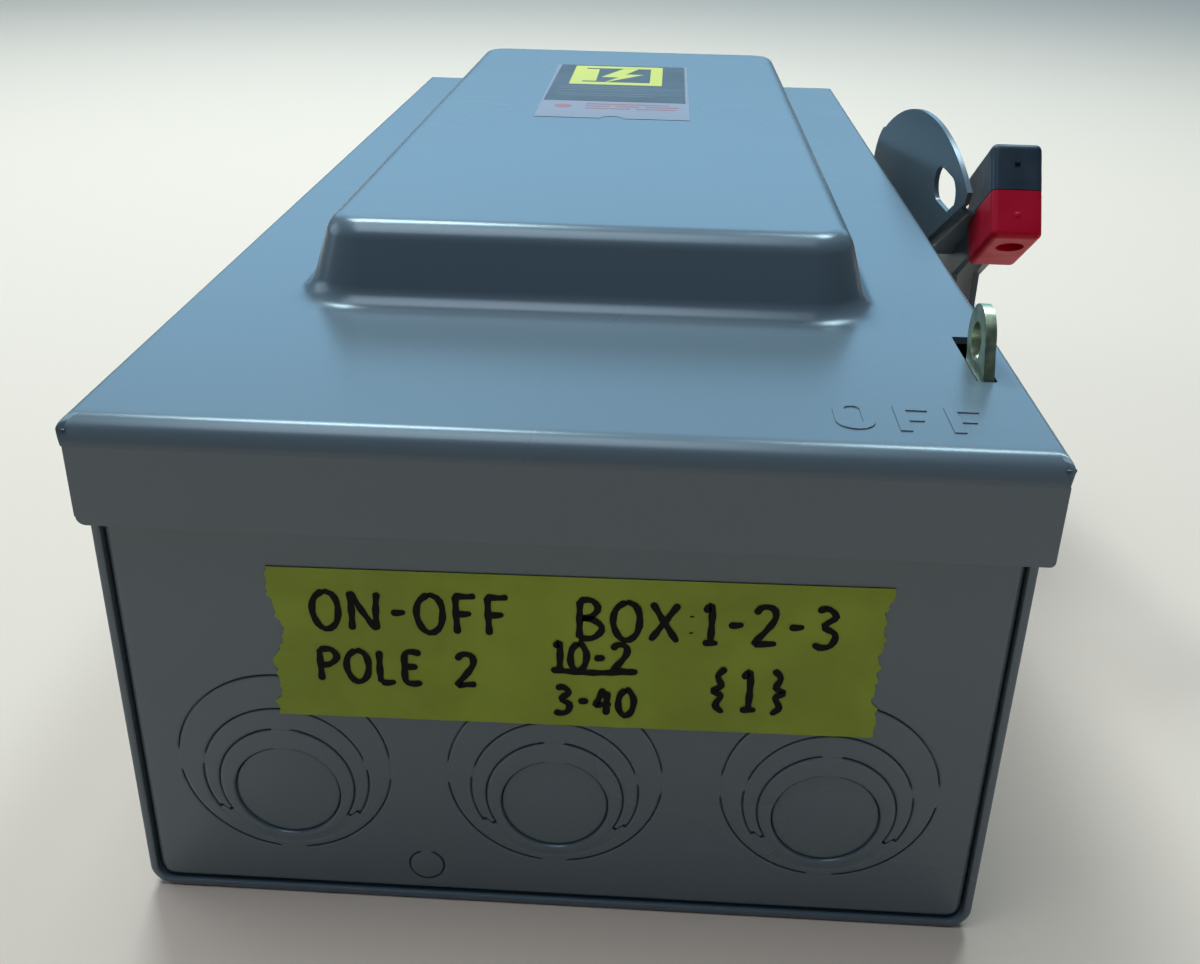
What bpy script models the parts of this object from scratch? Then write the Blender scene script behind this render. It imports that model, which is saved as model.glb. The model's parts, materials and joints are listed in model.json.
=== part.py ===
"""Sixty ampere, two pole fusible disconnect switch in a sheet steel box, lying on its back.

All sizes below are in millimetres; MM turns them into Blender's metres. The origin is the centre
of the enclosure's back face, +Z points out of the cover, +X is the handle side and -Y is the end
where the conduit knockouts face the installer. The handle is down (OFF) and the cover is shut.
"""
from math import atan2, cos, pi, radians, sin

import bmesh
import bpy
from mathutils import Matrix, Vector

MM = 0.001
GAP = 0.3                       # clearance between neighbouring pieces

# Sheet metal box
SHEET = 1.6
BODY_X = 89.0                   # half width of the wrapper
BODY_Y = 195.5                  # half length of the wrapper
WALL_TOP = 100.0
BEND = 5.0                      # outer radius of the bends
WALL_IN = BODY_X - SHEET        # inner face of a side wall
FLOOR = SHEET + GAP             # where the inner parts stand
END_FACE = BODY_Y - 0.6         # outer face of an end wall, set back into the wrapper

# Cover with its raised panel
COVER_X = 91.35
COVER_Y = 197.75
COVER_LIP = 91.0
COVER_TOP = 112.3
COVER_UNDER = COVER_TOP - SHEET
PANEL_RISE = 17.5
PANEL_BASE = (65.5, -128.0, 174.0)      # half width, near edge and far edge
PANEL_RIDGE = (60.5, -120.5, 167.0)
PANEL_TOP = COVER_TOP + PANEL_RISE

# Hinges on the left side
HINGE_X = -92.5
HINGE_Z = 87.6
HINGE_YS = (-120.0, 120.0)
HINGE_HALF = 25.0
KNUCKLE = 2.4
HINGE_PIN = 1.2
MIDDLE_KNUCKLE = 8.3

# Conduit knockouts: radius, height of the centre, and the slots between the ties in degrees
KNOCKOUT_PITCH = 56.3
KNOCKOUT_X = -0.4
KNOCKOUT_SLOT = 0.5
KNOCKOUT_RINGS = (
    (11.1, 27.4, ((102, 438),)),
    (14.25, 29.2, ((104, 218), (-38, 76))),
    (17.4, 31.2, ((58, 122), (142, 258), (282, 398))),
    (22.2, 34.6, ((8, 172), (190, 350))),
)
PILOT_KNOCKOUT = (-27.4, 9.2, 3.7)

# Cover latch with its padlock eye
LATCH_X = (83.2, 85.9)
EYE = (-149.8, 117.0)
EYE_RADIUS = 7.7
EYE_HOLE = 4.0
LATCH_SLOT_X = (81.7, 86.4)
LATCH_SLOT_Y = (-161.0, -134.5)
LATCH_TRAVEL = 8.0
LATCH_STUD = (-147.2, 103.0)

# Operating handle, in the YZ plane
PIVOT = (28.0, 60.0)
SHAFT = 6.0
BORE = SHAFT + GAP
GRIP_END = (-30.9, 121.1)       # middle of the grip's end face
ARM_RISE = 33.0                 # slope of the arm above the horizontal, in degrees
GRIP_LENGTH = 29.0
GRIP_HALF_HEIGHT = 14.2
GRIP_X = (112.0, 126.5)
CHEEK_X = ((114.0, 116.0), (121.0, 123.0))
ARM_HALF_HEIGHT = 9.0

# Lock plate beside the handle, splayed away from the wall
LOCK_SPLAY = 8.0
LOCK_FAR = (94.5, 78.8)         # inner face of its far edge
LOCK_SHEET = 1.6

# Switch inside
POLE_XS = (-22.0, 22.0)
BLADE_HALF = 32.0
BLADE_OPEN = 66.0               # how far the blades stand open at OFF, in degrees
LOAD_TOP = 26.0
LINE_TOP = 30.0
FUSE_Z = 47.0
FUSE_RADIUS = 10.3
FUSE_Y = (-106.0, -30.0)
MECHANISM_X = (66.0, 68.0)
CRANK_X = (70.0, 73.0)
CRANK_PIN_AT = 314.0            # angle of the crank pin at OFF, in degrees
CRANK_RADIUS = 18.0
SPRING_ANCHOR = (28.0, 12.0)
INTERLOCK_PIVOT = (62.0, 80.0)

FINISHES = {                    # colour, roughness, metallic
    "blue_gray_enamel": ((0.20, 0.30, 0.38), 0.35, 0.0),
    "yellow_zinc": ((0.62, 0.60, 0.38), 0.35, 1.0),
    "bright_steel": ((0.55, 0.55, 0.56), 0.35, 1.0),
    "copper": ((0.72, 0.45, 0.30), 0.35, 1.0),
    "aluminium": ((0.75, 0.76, 0.77), 0.4, 1.0),
    "brass": ((0.72, 0.58, 0.30), 0.3, 1.0),
    "black_moulding": ((0.03, 0.03, 0.035), 0.5, 0.0),
    "red_moulding": ((0.45, 0.01, 0.04), 0.4, 0.0),
    "clear_shield": ((0.55, 0.56, 0.50), 0.3, 0.0),
    "fuse_fibre": ((0.30, 0.12, 0.08), 0.6, 0.0),
    "label_black": ((0.02, 0.02, 0.022), 0.4, 0.0),
    "green_tape": ((0.33, 0.40, 0.03), 0.7, 0.0),
}


# ---------------------------------------------------------------- scene and helpers

for old in list(bpy.data.objects):
    bpy.data.objects.remove(old, do_unlink=True)

PARTS = bpy.data.collections.new("ac_disconnect_box")
CUTTERS = bpy.data.collections.new("cutters")
for collection in (PARTS, CUTTERS):
    bpy.context.scene.collection.children.link(collection)


def finish(name):
    """The named material, made the first time it is asked for."""
    if name in bpy.data.materials:
        return bpy.data.materials[name]
    colour, roughness, metallic = FINISHES[name]
    material = bpy.data.materials.new(name)
    material.use_nodes = True
    shader = material.node_tree.nodes["Principled BSDF"]
    shader.inputs["Base Color"].default_value = (*colour, 1.0)
    shader.inputs["Roughness"].default_value = roughness
    shader.inputs["Metallic"].default_value = metallic
    return material


def add(name, mesh, coat):
    """Link a mesh as a part, or as a cutter when it has no finish."""
    item = bpy.data.objects.new(name, mesh)
    if coat:
        PARTS.objects.link(item)
        mesh.materials.append(finish(coat))
    else:
        CUTTERS.objects.link(item)
        item.hide_render = True
        item.display_type = 'WIRE'
    return item


def box(name, x, y, z, coat=None, bevel=0.0):
    """A block between the (low, high) pairs x, y and z."""
    mesh = bpy.data.meshes.new(name)
    form = bmesh.new()
    bmesh.ops.create_cube(form, size=1.0)
    size = [(pair[1] - pair[0]) * MM for pair in (x, y, z)]
    bmesh.ops.scale(form, vec=size, verts=form.verts)
    form.to_mesh(mesh)
    form.free()
    item = add(name, mesh, coat)
    item.location = [(pair[0] + pair[1]) / 2 * MM for pair in (x, y, z)]
    if bevel:
        round_edges(item, bevel)
    return item


def round_edges(item, width, segments=2):
    """A Bevel modifier on the sharp edges."""
    modifier = item.modifiers.new("round", 'BEVEL')
    modifier.width = width * MM
    modifier.segments = segments
    modifier.limit_method = 'ANGLE'
    modifier.angle_limit = radians(40)


TURN = {'X': Matrix(((0, 0, 1), (1, 0, 0), (0, 1, 0))).to_4x4(),
        'Y': Matrix(((1, 0, 0), (0, 0, -1), (0, 1, 0))).to_4x4(),
        'Z': Matrix.Identity(4)}


def place_along(item, axis, middle):
    """Turn an object built on its own XY plane so that its Z runs along an axis, at middle."""
    item.matrix_world = Matrix.Translation(middle) @ TURN[axis]


def rod(name, axis, centre, span, radius, coat=None, sides=24):
    """A round bar along an axis, from span[0] to span[1], centred in the other two directions."""
    mesh = bpy.data.meshes.new(name)
    form = bmesh.new()
    length = (span[1] - span[0]) * MM
    bmesh.ops.create_cone(form, cap_ends=True, segments=sides, radius1=radius * MM,
                          radius2=radius * MM, depth=length)
    form.to_mesh(mesh)
    form.free()
    if sides > 8:
        mesh.shade_smooth()
        mesh.set_sharp_from_angle(angle=radians(40))
    item = add(name, mesh, coat)
    place_along(item, axis, on_axis(axis, centre, sum(span) / 2))
    return item


def on_axis(axis, centre, along):
    """The point whose place along an axis is given, with centre for the other two."""
    first, second = centre
    point = {'X': (along, first, second), 'Y': (first, along, second), 'Z': (first, second, along)}
    return Vector(point[axis]) * MM


def plate(name, axis, span, outlines, coat=None):
    """A flat outline with holes, from span[0] to span[1] along its axis.

    Outline points are (y, z) for axis X, (x, z) for axis Y and (x, y) for axis Z.
    """
    curve = bpy.data.curves.new(name, 'CURVE')
    curve.dimensions = '2D'
    curve.fill_mode = 'BOTH'
    curve.extrude = (span[1] - span[0]) / 2 * MM
    for outline in outlines:
        spline = curve.splines.new('POLY')
        spline.points.add(len(outline) - 1)
        spline.use_cyclic_u = True
        for point, (u, v) in zip(spline.points, outline):
            point.co = (u * MM, v * MM, 0.0, 1.0)
    flat = bpy.data.objects.new(name + "_outline", curve)
    CUTTERS.objects.link(flat)
    mesh = mesh_of(flat)
    item = add(name, mesh, coat)
    place_along(item, axis, on_axis(axis, (0.0, 0.0), sum(span) / 2))
    return item


def mesh_of(curve_object):
    """The welded mesh of a curve object, which is then removed."""
    bpy.context.view_layer.update()
    evaluated = curve_object.evaluated_get(bpy.context.evaluated_depsgraph_get())
    mesh = bpy.data.meshes.new_from_object(evaluated)
    bpy.data.objects.remove(curve_object, do_unlink=True)
    form = bmesh.new()
    form.from_mesh(mesh)
    bmesh.ops.remove_doubles(form, verts=form.verts, dist=1e-6)
    bmesh.ops.recalc_face_normals(form, faces=form.faces)
    form.to_mesh(mesh)
    form.free()
    return mesh


def wire(name, points, radius, coat):
    """A round wire through points, with closed ends."""
    curve = bpy.data.curves.new(name, 'CURVE')
    curve.dimensions = '3D'
    curve.bevel_depth = radius * MM
    curve.bevel_resolution = 1
    curve.use_fill_caps = True
    spline = curve.splines.new('POLY')
    spline.points.add(len(points) - 1)
    for point, place in zip(spline.points, points):
        point.co = (*[value * MM for value in place], 1.0)
    guide = bpy.data.objects.new(name + "_line", curve)
    CUTTERS.objects.link(guide)
    item = add(name, mesh_of(guide), coat)
    item.data.shade_smooth()
    return item


def coil(start, end, radius, turns):
    """Points of a helix of a given radius from start to end."""
    start, end = Vector(start), Vector(end)
    run = end - start
    side = run.cross(Vector((1, 0, 0)) if abs(run.normalized().x) < 0.9 else Vector((0, 1, 0)))
    side.normalize()
    other = run.normalized().cross(side)
    steps = int(turns * 10)
    return [start + run * i / steps
            + (side * cos(2 * pi * i / 10) + other * sin(2 * pi * i / 10)) * radius
            for i in range(steps + 1)]


def cut(item, *tools):
    """Cut an object with cutters."""
    combine(item, 'DIFFERENCE', tools)
    return item


def join(item, *others):
    """Make one solid of an object and helper solids."""
    combine(item, 'UNION', others)
    return item


def combine(item, operation, tools):
    for tool in tools:
        modifier = item.modifiers.new(tool.name, 'BOOLEAN')
        modifier.operation = operation
        modifier.object = tool


def arc(centre, radius, first, last, step=15.0):
    """Points on a circle from one angle to another, in degrees."""
    count = max(2, int(abs(last - first) / step + 0.5))
    angles = [radians(first + (last - first) * i / count) for i in range(count + 1)]
    return [(centre[0] + radius * cos(a), centre[1] + radius * sin(a)) for a in angles]


def circle(centre, radius, sides=24):
    return arc(centre, radius, 0, 360 - 360 / sides, 360 / sides)


def block(u, v):
    """A rectangle between the (low, high) pairs u and v."""
    return [(u[0], v[0]), (u[1], v[0]), (u[1], v[1]), (u[0], v[1])]


def grown(pair, amount):
    return (pair[0] - amount, pair[1] + amount)


def around(middle, half):
    return (middle - half, middle + half)


def joint_axis(name, place):
    """An empty on a joint's axis."""
    empty = bpy.data.objects.new(name, None)
    PARTS.objects.link(empty)
    empty.location = Vector(place) * MM
    return empty


def ride(empty, *items):
    """Parent parts to a joint's empty where they are."""
    for item in items:
        item.parent = empty
        item.matrix_parent_inverse = Matrix.Translation(-empty.location)


# ---------------------------------------------------------------- enclosure

def channel_outline(half, low, top, radius, thickness):
    """A U profile: outside of its bends, then back along the inside."""
    inner = radius - thickness
    centre = half - radius
    outside = ([(-half, top)] + arc((-centre, low + radius), radius, 180, 270, 22.5)
               + arc((centre, low + radius), radius, 270, 360, 22.5) + [(half, top)])
    inside = ([(half - thickness, top)] + arc((centre, low + radius), inner, 360, 270, 22.5)
              + arc((-centre, low + radius), inner, 270, 180, 22.5) + [(thickness - half, top)])
    return outside + inside


def enclosure_wrapper():
    """Back and both sides, folded from one sheet."""
    outline = channel_outline(BODY_X, 0.0, WALL_TOP, BEND, SHEET)
    item = plate("enclosure_wrapper", 'Y', (-BODY_Y, BODY_Y), [outline], "blue_gray_enamel")
    cut(item, rod("shaft_opening", 'X', PIVOT, (BODY_X - 4, BODY_X + 4), SHAFT + 2.0 + GAP))
    for x in (-60.0, 60.0):
        for y in (-170.0, 170.0):
            cut(item, rod("mounting_hole", 'Z', (x, y), (-2, 4), 3.5, sides=16))


def knockout_slots():
    """The sheared slots of the three knockout clusters and of the pilot knockout."""
    slots = []
    half = KNOCKOUT_SLOT / 2
    for cluster in (-1, 0, 1):
        x = KNOCKOUT_X + cluster * KNOCKOUT_PITCH
        for radius, z, spans in KNOCKOUT_RINGS:
            for first, last in spans:
                slots.append(arc((x, z), radius + half, first, last, 18)
                             + arc((x, z), radius - half, last, first, 18))
    x, z, radius = PILOT_KNOCKOUT
    slots.append(arc((x, z), radius + half, 110, 430, 30) + arc((x, z), radius - half, 430, 110, 30))
    return slots


def end_wall(name, facing):
    """A wall with turned-in flanges, welded inside the wrapper; facing is -1 or +1 along Y."""
    half = WALL_IN - GAP
    corner = BEND - SHEET - GAP
    face = ([(-half, WALL_TOP)] + arc((corner - half, FLOOR + corner), corner, 180, 270, 30)
            + arc((half - corner, FLOOR + corner), corner, 270, 360, 30) + [(half, WALL_TOP)])
    wall = plate(name, 'Y', sorted((facing * END_FACE, facing * (END_FACE - SHEET))),
                 [face] + knockout_slots(), "blue_gray_enamel")
    rim = channel_outline(half, FLOOR, WALL_TOP, corner, SHEET)
    join(wall, plate(name + "_flanges", 'Y',
                     sorted((facing * (END_FACE - 0.5), facing * (END_FACE - 14.0))), [rim]))


def cover():
    """The drawn lid: four flanges, a flat rim and the raised panel in the middle."""
    form = bmesh.new()

    def corner_ring(half_x, near, far, z):
        corners = ((-half_x, near), (half_x, near), (half_x, far), (-half_x, far))
        return [form.verts.new((x * MM, y * MM, z * MM)) for x, y in corners]

    rings = [corner_ring(COVER_X, -COVER_Y, COVER_Y, COVER_LIP),
             corner_ring(COVER_X, -COVER_Y, COVER_Y, COVER_TOP),
             corner_ring(*PANEL_BASE, COVER_TOP),
             corner_ring(*PANEL_RIDGE, PANEL_TOP)]
    for lower, upper in zip(rings, rings[1:]):
        for i in range(4):
            j = (i + 1) % 4
            form.faces.new((lower[i], lower[j], upper[j], upper[i]))
    form.faces.new(rings[3])

    def bend_ring(index, radius, segments):
        ring = set(rings[index])
        edges = [edge for edge in form.edges if edge.is_valid and set(edge.verts) <= ring]
        bmesh.ops.bevel(form, geom=edges, offset=radius * MM, segments=segments, profile=0.5,
                        affect='EDGES', offset_type='OFFSET')

    bend_ring(3, 3.6, 3)
    bend_ring(2, 3.0, 2)
    bend_ring(1, BEND, 3)
    mesh = bpy.data.meshes.new("cover")
    form.to_mesh(mesh)
    form.free()
    mesh.shade_smooth()
    mesh.set_sharp_from_angle(angle=radians(35))
    item = add("cover", mesh, "blue_gray_enamel")
    thickness = item.modifiers.new("sheet", 'SOLIDIFY')
    thickness.thickness = SHEET * MM
    thickness.offset = -1.0
    thickness.use_even_offset = True
    cut(item, box("latch_slot", LATCH_SLOT_X, LATCH_SLOT_Y, (COVER_TOP - 6, COVER_TOP + 4)))
    return item


def label_plate():
    return box("label_plate", (-26.5, 23.5), (14.0, 121.0), (PANEL_TOP + GAP, PANEL_TOP + 0.8),
               "label_black")


def marking_tape():
    """A strip of paper masking tape across the bottom end wall, slightly out of level."""
    tape = box("marking_tape", (-57.0, 62.5), around(-END_FACE - GAP - 0.2, 0.2), (48.3, 82.8),
               "green_tape")
    tape.rotation_euler.y = radians(-0.6)


# ---------------------------------------------------------------- hinges

def hinge(number, y):
    """Body leaf with two knuckles, cover leaf with one between them, and the pin."""
    axis = (HINGE_X, HINGE_Z)
    outer, inner = HINGE_HALF, MIDDLE_KNUCKLE + GAP
    wall_face = -BODY_X - GAP
    body_leaf = box(f"hinge_body_leaf_{number}", (wall_face - 1.5, wall_face), around(y, outer),
                    (66.0, HINGE_Z), "blue_gray_enamel")
    cut(body_leaf, box("leaf_relief", (HINGE_X - 5, wall_face + 1), around(y, inner),
                       (HINGE_Z - KNUCKLE - 0.4, HINGE_Z + 5)))
    for span in ((y - outer, y - inner), (y + inner, y + outer)):
        join(body_leaf, rod("knuckle", 'Y', axis, span, KNUCKLE, sides=20))
    cut(body_leaf, rod("pin_bore", 'Y', axis, around(y, outer + 1), HINGE_PIN + GAP, sides=16))

    cover_face = -COVER_X - GAP
    cover_leaf = box(f"hinge_cover_leaf_{number}", (cover_face - 1.5, cover_face),
                     around(y, outer), (HINGE_Z + KNUCKLE + 0.4, 106.0), "blue_gray_enamel")
    join(cover_leaf,
         box("leaf_neck", (cover_face - 1.5, cover_face), around(y, MIDDLE_KNUCKLE),
             (HINGE_Z, 94.0)),
         rod("knuckle", 'Y', axis, around(y, MIDDLE_KNUCKLE), KNUCKLE, sides=20))
    cut(cover_leaf, rod("pin_bore", 'Y', axis, around(y, outer + 1), HINGE_PIN + GAP, sides=16))

    pin = rod(f"hinge_pin_{number}", 'Y', axis, around(y, outer + 0.5), HINGE_PIN,
              "bright_steel", sides=12)
    for side in (-1, 1):
        span = sorted((y + side * (outer + GAP), y + side * (outer + 1.3)))
        join(pin, rod("pin_head", 'Y', axis, span, 2.2, sides=12))
    return cover_leaf


# ---------------------------------------------------------------- cover latch

def cover_latch():
    """Zinc plated slide with a padlock eye above the cover and a nose below it."""
    y, z = EYE
    stem = (y - 10.4, y + 6.0)
    outline = (arc(EYE, EYE_RADIUS, -38, 172, 15)
               + [(stem[0], 112.0), (stem[0], 100.2), (stem[0] - 2.9, 99.2), (stem[0] - 2.9, 95.5),
                  (stem[1], 95.5)])
    stud_y, stud_z = LATCH_STUD
    half = 1.8
    guide_slot = (arc((stud_y, stud_z), half, -90, 90, 30)
                  + arc((stud_y - LATCH_TRAVEL, stud_z), half, 90, 270, 30))
    return plate("cover_latch", 'X', LATCH_X, [outline, circle(EYE, EYE_HOLE), guide_slot],
                 "yellow_zinc")


def latch_guide():
    """Angle under the cover that the latch slides along, with its stud and the spring's stop."""
    right = LATCH_X[0] - GAP
    y = (-166.0, -130.0)
    top = COVER_UNDER - GAP
    guide = box("latch_guide", (right - 1.6, right), y, (94.0, top), "bright_steel")
    join(guide,
         box("guide_foot", (right - 12.0, right), y, (top - 1.6, top)),
         box("spring_stop", (right - 1.6, 86.8), (y[1] - 1.6, y[1]), (94.0, 102.0)),
         rod("stud", 'X', LATCH_STUD, (right - 1.0, 87.0), 1.5, sides=12),
         rod("stud_head", 'X', LATCH_STUD, (LATCH_X[1] + GAP, 87.0), 2.8, sides=12))
    return guide


def latch_spring():
    """Compression spring that holds the latch shut."""
    line = coil((84.6, -132.6, 98.0), (84.6, EYE[0] + 6.8, 98.0), 1.0, 5)
    return wire("latch_spring", line, 0.3, "bright_steel")


def latch_keeper():
    """Headed pin on the right wall that the latch's nose goes under."""
    place = (EYE[0] - 10.4 - 2.9 - 0.4 - 2.2, 101.2)
    keeper = rod("latch_keeper", 'X', place, (83.3, WALL_IN - GAP), 2.2, "bright_steel", 16)
    join(keeper, rod("keeper_flange", 'X', place, (86.3, WALL_IN - GAP), 3.4, sides=16))


# ---------------------------------------------------------------- handle and lock plate

def along_arm(distance, height):
    """A point given by its distance behind the grip's end face and its height on the arm."""
    slope = radians(ARM_RISE)
    y = GRIP_END[0] + distance * cos(slope) + height * sin(slope)
    z = GRIP_END[1] - distance * sin(slope) + height * cos(slope)
    return (y, z)


def handle_lever():
    """Folded steel lever: two cheeks on the shaft, a web over the arm, a tongue in the grip."""
    back = GRIP_LENGTH + 0.5
    knee = along_arm(57.0, -ARM_HALF_HEIGHT)
    boss = 16.0
    cheek = ([along_arm(back, -ARM_HALF_HEIGHT), knee]
             + arc(PIVOT, boss, 180, 352, 17.2)
             + [along_arm(80.0, ARM_HALF_HEIGHT), along_arm(back, ARM_HALF_HEIGHT)])
    lever = plate("handle_lever", 'X', CHEEK_X[0], [cheek, circle(PIVOT, BORE)],
                  "blue_gray_enamel")
    web = [along_arm(back, ARM_HALF_HEIGHT), along_arm(80.0, ARM_HALF_HEIGHT),
           along_arm(79.0, ARM_HALF_HEIGHT - 2), along_arm(back, ARM_HALF_HEIGHT - 2)]
    tongue = [along_arm(4.0, -1.5), along_arm(50.0, -1.5), along_arm(50.0, 1.5),
              along_arm(4.0, 1.5)]
    join(lever,
         plate("far_cheek", 'X', CHEEK_X[1], [cheek, circle(PIVOT, BORE)]),
         plate("web", 'X', (CHEEK_X[0][0], CHEEK_X[1][1]), [web]),
         plate("tongue", 'X', (CHEEK_X[0][0], CHEEK_X[1][1]), [tongue]))
    return lever


def grip_half(name, side, coat):
    """Half of the moulded grip, above (side +1) or below (side -1) the lever's tongue."""
    low, high = sorted((side * GAP / 2, side * GRIP_HALF_HEIGHT))
    outline = [along_arm(0, low), along_arm(GRIP_LENGTH, low), along_arm(GRIP_LENGTH, high),
               along_arm(0, high)]
    half = plate(name, 'X', GRIP_X, [outline], coat)
    round_edges(half, 1.2)
    recess = [along_arm(3.6, -1.9), along_arm(GRIP_LENGTH + 2, -1.9),
              along_arm(GRIP_LENGTH + 2, 1.9), along_arm(3.6, 1.9)]
    cut(half, plate("tongue_recess", 'X', (CHEEK_X[0][0] - 0.4, CHEEK_X[1][1] + 0.4), [recess]))
    return half


def handle_shaft():
    """Shaft through the wall; the slot in its inner disc drives the crossbar with lost motion."""
    shaft = rod("handle_shaft", 'X', PIVOT, (61.0, 127.5), SHAFT, "bright_steel")
    disc = arc(PIVOT, 10.5, 240, 542, 15) + arc(PIVOT, 5.0, 542, 600, 15)
    join(shaft, plate("dog_disc", 'X', (61.0, 64.0), [disc]))
    return shaft


def collar(name, span, radius, coat, sides=24):
    """A ring on the shaft."""
    ring = [arc(PIVOT, radius, 0, 360 - 360 / sides, 360 / sides), circle(PIVOT, BORE)]
    return plate(name, 'X', span, ring, coat)


def shaft_bush():
    bush = collar("shaft_bush", (86.0, 90.5), SHAFT + 2.0, "brass")
    join(bush, plate("bush_flange", 'X', (BODY_X + GAP, 91.0),
                     [circle(PIVOT, 11.0), circle(PIVOT, SHAFT + 1.0)]))


def lock_plate():
    """Quadrant around the handle's pivot with a padlock slot, a turned-out stop and a wall foot."""
    splay = radians(LOCK_SPLAY)
    frame = Matrix.Translation(Vector((*LOCK_FAR, 0.0)) * MM) @ Matrix((
        (sin(splay), 0, -cos(splay), 0), (-cos(splay), 0, -sin(splay), 0), (0, 1, 0, 0),
        (0, 0, 0, 1)))
    middle = (52.5, 56.5)
    bend_near, bend_far = (93.5, 111.0), (61.0, 89.3)
    outline = (arc(middle, 75.5, 56, 121, 6.5) + arc((12.0, 107.5), 12.0, 130, 180, 25)
               + [(0.0, 41.0), (72.0, 41.0), (72.0, 70.0), bend_far, bend_near])
    slot = arc((73.8, 113.6), 5.6, 90, 270, 30) + arc((82.6, 112.6), 5.6, -90, 90, 30)
    pivot_along = (LOCK_FAR[1] - PIVOT[0]) / cos(splay)
    item = plate("lock_plate", 'Z', (-LOCK_SHEET, 0.0),
                 [outline, slot, circle((pivot_along, PIVOT[1]), 8.5)], "blue_gray_enamel")
    item.matrix_world = frame @ Matrix.Translation((0, 0, -LOCK_SHEET / 2 * MM))

    run = Vector(bend_near) - Vector(bend_far)
    stop = box("stop_flange", (0.6, run.length - 3.0), (-12.5, 1.0), (0.1 - LOCK_SHEET, -0.1))
    centre = stop.location.copy()
    turn = Matrix.Rotation(atan2(run.y, run.x), 4, 'Z') @ Matrix.Rotation(radians(8), 4, 'X')
    stop.matrix_world = (frame @ Matrix.Translation((*[v * MM for v in bend_far], 0)) @ turn
                         @ Matrix.Translation(centre))
    near_x = LOCK_FAR[0] + (LOCK_FAR[1] - 10.0) * sin(splay) / cos(splay)
    wall = BODY_X + GAP
    shelf = [(wall + 0.7, 10.6), (near_x + 0.8, 10.6), (LOCK_FAR[0] + 0.8, 78.0),
             (wall + 0.7, 78.0)]
    join(item, stop,
         plate("lock_shelf", 'Z', (42.0, 44.0), [shelf]),
         box("lock_foot", (wall, wall + 1.8), (10.0, 78.6), (24.0, 43.4)))


# ---------------------------------------------------------------- mechanism

def mechanism_plate():
    """Bracket that carries the inner end of the shaft, the spring's anchor and the interlock."""
    base = FLOOR + 0.6
    outline = [(-4.0, base), (74.0, base), (74.0, 86.0), (40.0, 86.0), (-4.0, 74.0)]
    bracket = plate("mechanism_plate", 'X', MECHANISM_X, [outline, circle(PIVOT, BORE)],
                    "bright_steel")
    join(bracket,
         box("bracket_foot", (MECHANISM_X[0] + 0.5, 84.0), (-3.5, 73.5), (FLOOR, FLOOR + 2.0)),
         rod("spring_anchor", 'X', SPRING_ANCHOR, (MECHANISM_X[1] - 1, 80.0), 2.5, sides=12),
         rod("interlock_stud", 'X', INTERLOCK_PIVOT, (MECHANISM_X[1] - 1, 72.5), 2.5, sides=12))


def crank_pin():
    angle = radians(CRANK_PIN_AT)
    return (PIVOT[0] + CRANK_RADIUS * cos(angle), PIVOT[1] + CRANK_RADIUS * sin(angle))


def drive_crank():
    """Arm on the shaft whose pin works the over-centre spring."""
    lean = CRANK_PIN_AT
    outline = (arc(PIVOT, 11.0, lean + 70, lean + 290, 20)
               + arc(crank_pin(), 4.5, lean - 90, lean + 90, 30))
    crank = plate("drive_crank", 'X', CRANK_X, [outline, circle(PIVOT, BORE)], "bright_steel")
    join(crank, rod("crank_pin", 'X', crank_pin(), (CRANK_X[1] - 1, 80.0), 2.0, sides=12))
    return crank


def drive_spring():
    """Over-centre spring between the crank's pin and the anchor."""
    start = Vector((76.5, *crank_pin()))
    end = Vector((76.5, *SPRING_ANCHOR))
    run = (end - start).normalized()
    return wire("drive_spring", coil(start + run * 7.0, end - run * 4.0, 2.9, 6), 0.5,
                "bright_steel")


def interlock_lever():
    """Hook that stands beside the cover's catch while the switch is on."""
    y, z = INTERLOCK_PIVOT
    outline = (arc(INTERLOCK_PIVOT, 6.0, 200, 340, 20)
               + [(y + 5.0, z + 20.0), (y + 11.0, z + 20.0), (y + 11.0, z + 25.5),
                  (y - 1.0, z + 25.5)])
    return plate("interlock_lever", 'X', (69.0, 71.0), [outline, circle(INTERLOCK_PIVOT, 2.8, 16)],
                 "yellow_zinc")


def interlock_catch():
    """Tab under the cover that the interlock hook holds."""
    top = COVER_UNDER - GAP
    catch = box("interlock_catch", (67.0, 68.6), (62.0, 76.0), (97.0, top), "bright_steel")
    join(catch, box("catch_foot", (58.0, 68.6), (62.0, 76.0), (top - 1.6, top)))
    return catch


# ---------------------------------------------------------------- switch

def blade_outline(half_length, half_height):
    """A strip through the pivot, standing open at OFF."""
    angle = radians(BLADE_OPEN)
    corners = ((-half_length, -half_height), (half_length, -half_height),
               (half_length, half_height), (-half_length, half_height))
    return [(PIVOT[0] + u * cos(angle) - v * sin(angle), PIVOT[1] + u * sin(angle) + v * cos(angle))
            for u, v in corners]


def crossbar():
    """Insulating bar that turns the blades, with the pin that the shaft's disc drives."""
    bar = rod("crossbar", 'X', PIVOT, (-49.0, 49.0), 11.0, "black_moulding")
    dog = radians(199.0)
    join(bar,
         rod("journals", 'X', PIVOT, (-60.0, 57.5), SHAFT),
         rod("dog_flange", 'X', PIVOT, (57.0, 60.0), 10.0),
         rod("dog_pin", 'X', (PIVOT[0] + 8.0 * cos(dog), PIVOT[1] + 8.0 * sin(dog)),
             (58.5, 63.6), 1.8, sides=12))
    for x in POLE_XS:
        cut(bar, plate("blade_slot", 'X', around(x, 1.3), [blade_outline(14.0, 5.3)]))
    return bar


def blade(number, x):
    item = plate(f"blade_{number}", 'X', around(x, 1.0), [blade_outline(BLADE_HALF, 5.0)],
                 "copper")
    round_edges(item, 0.4, 1)
    return item


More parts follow.
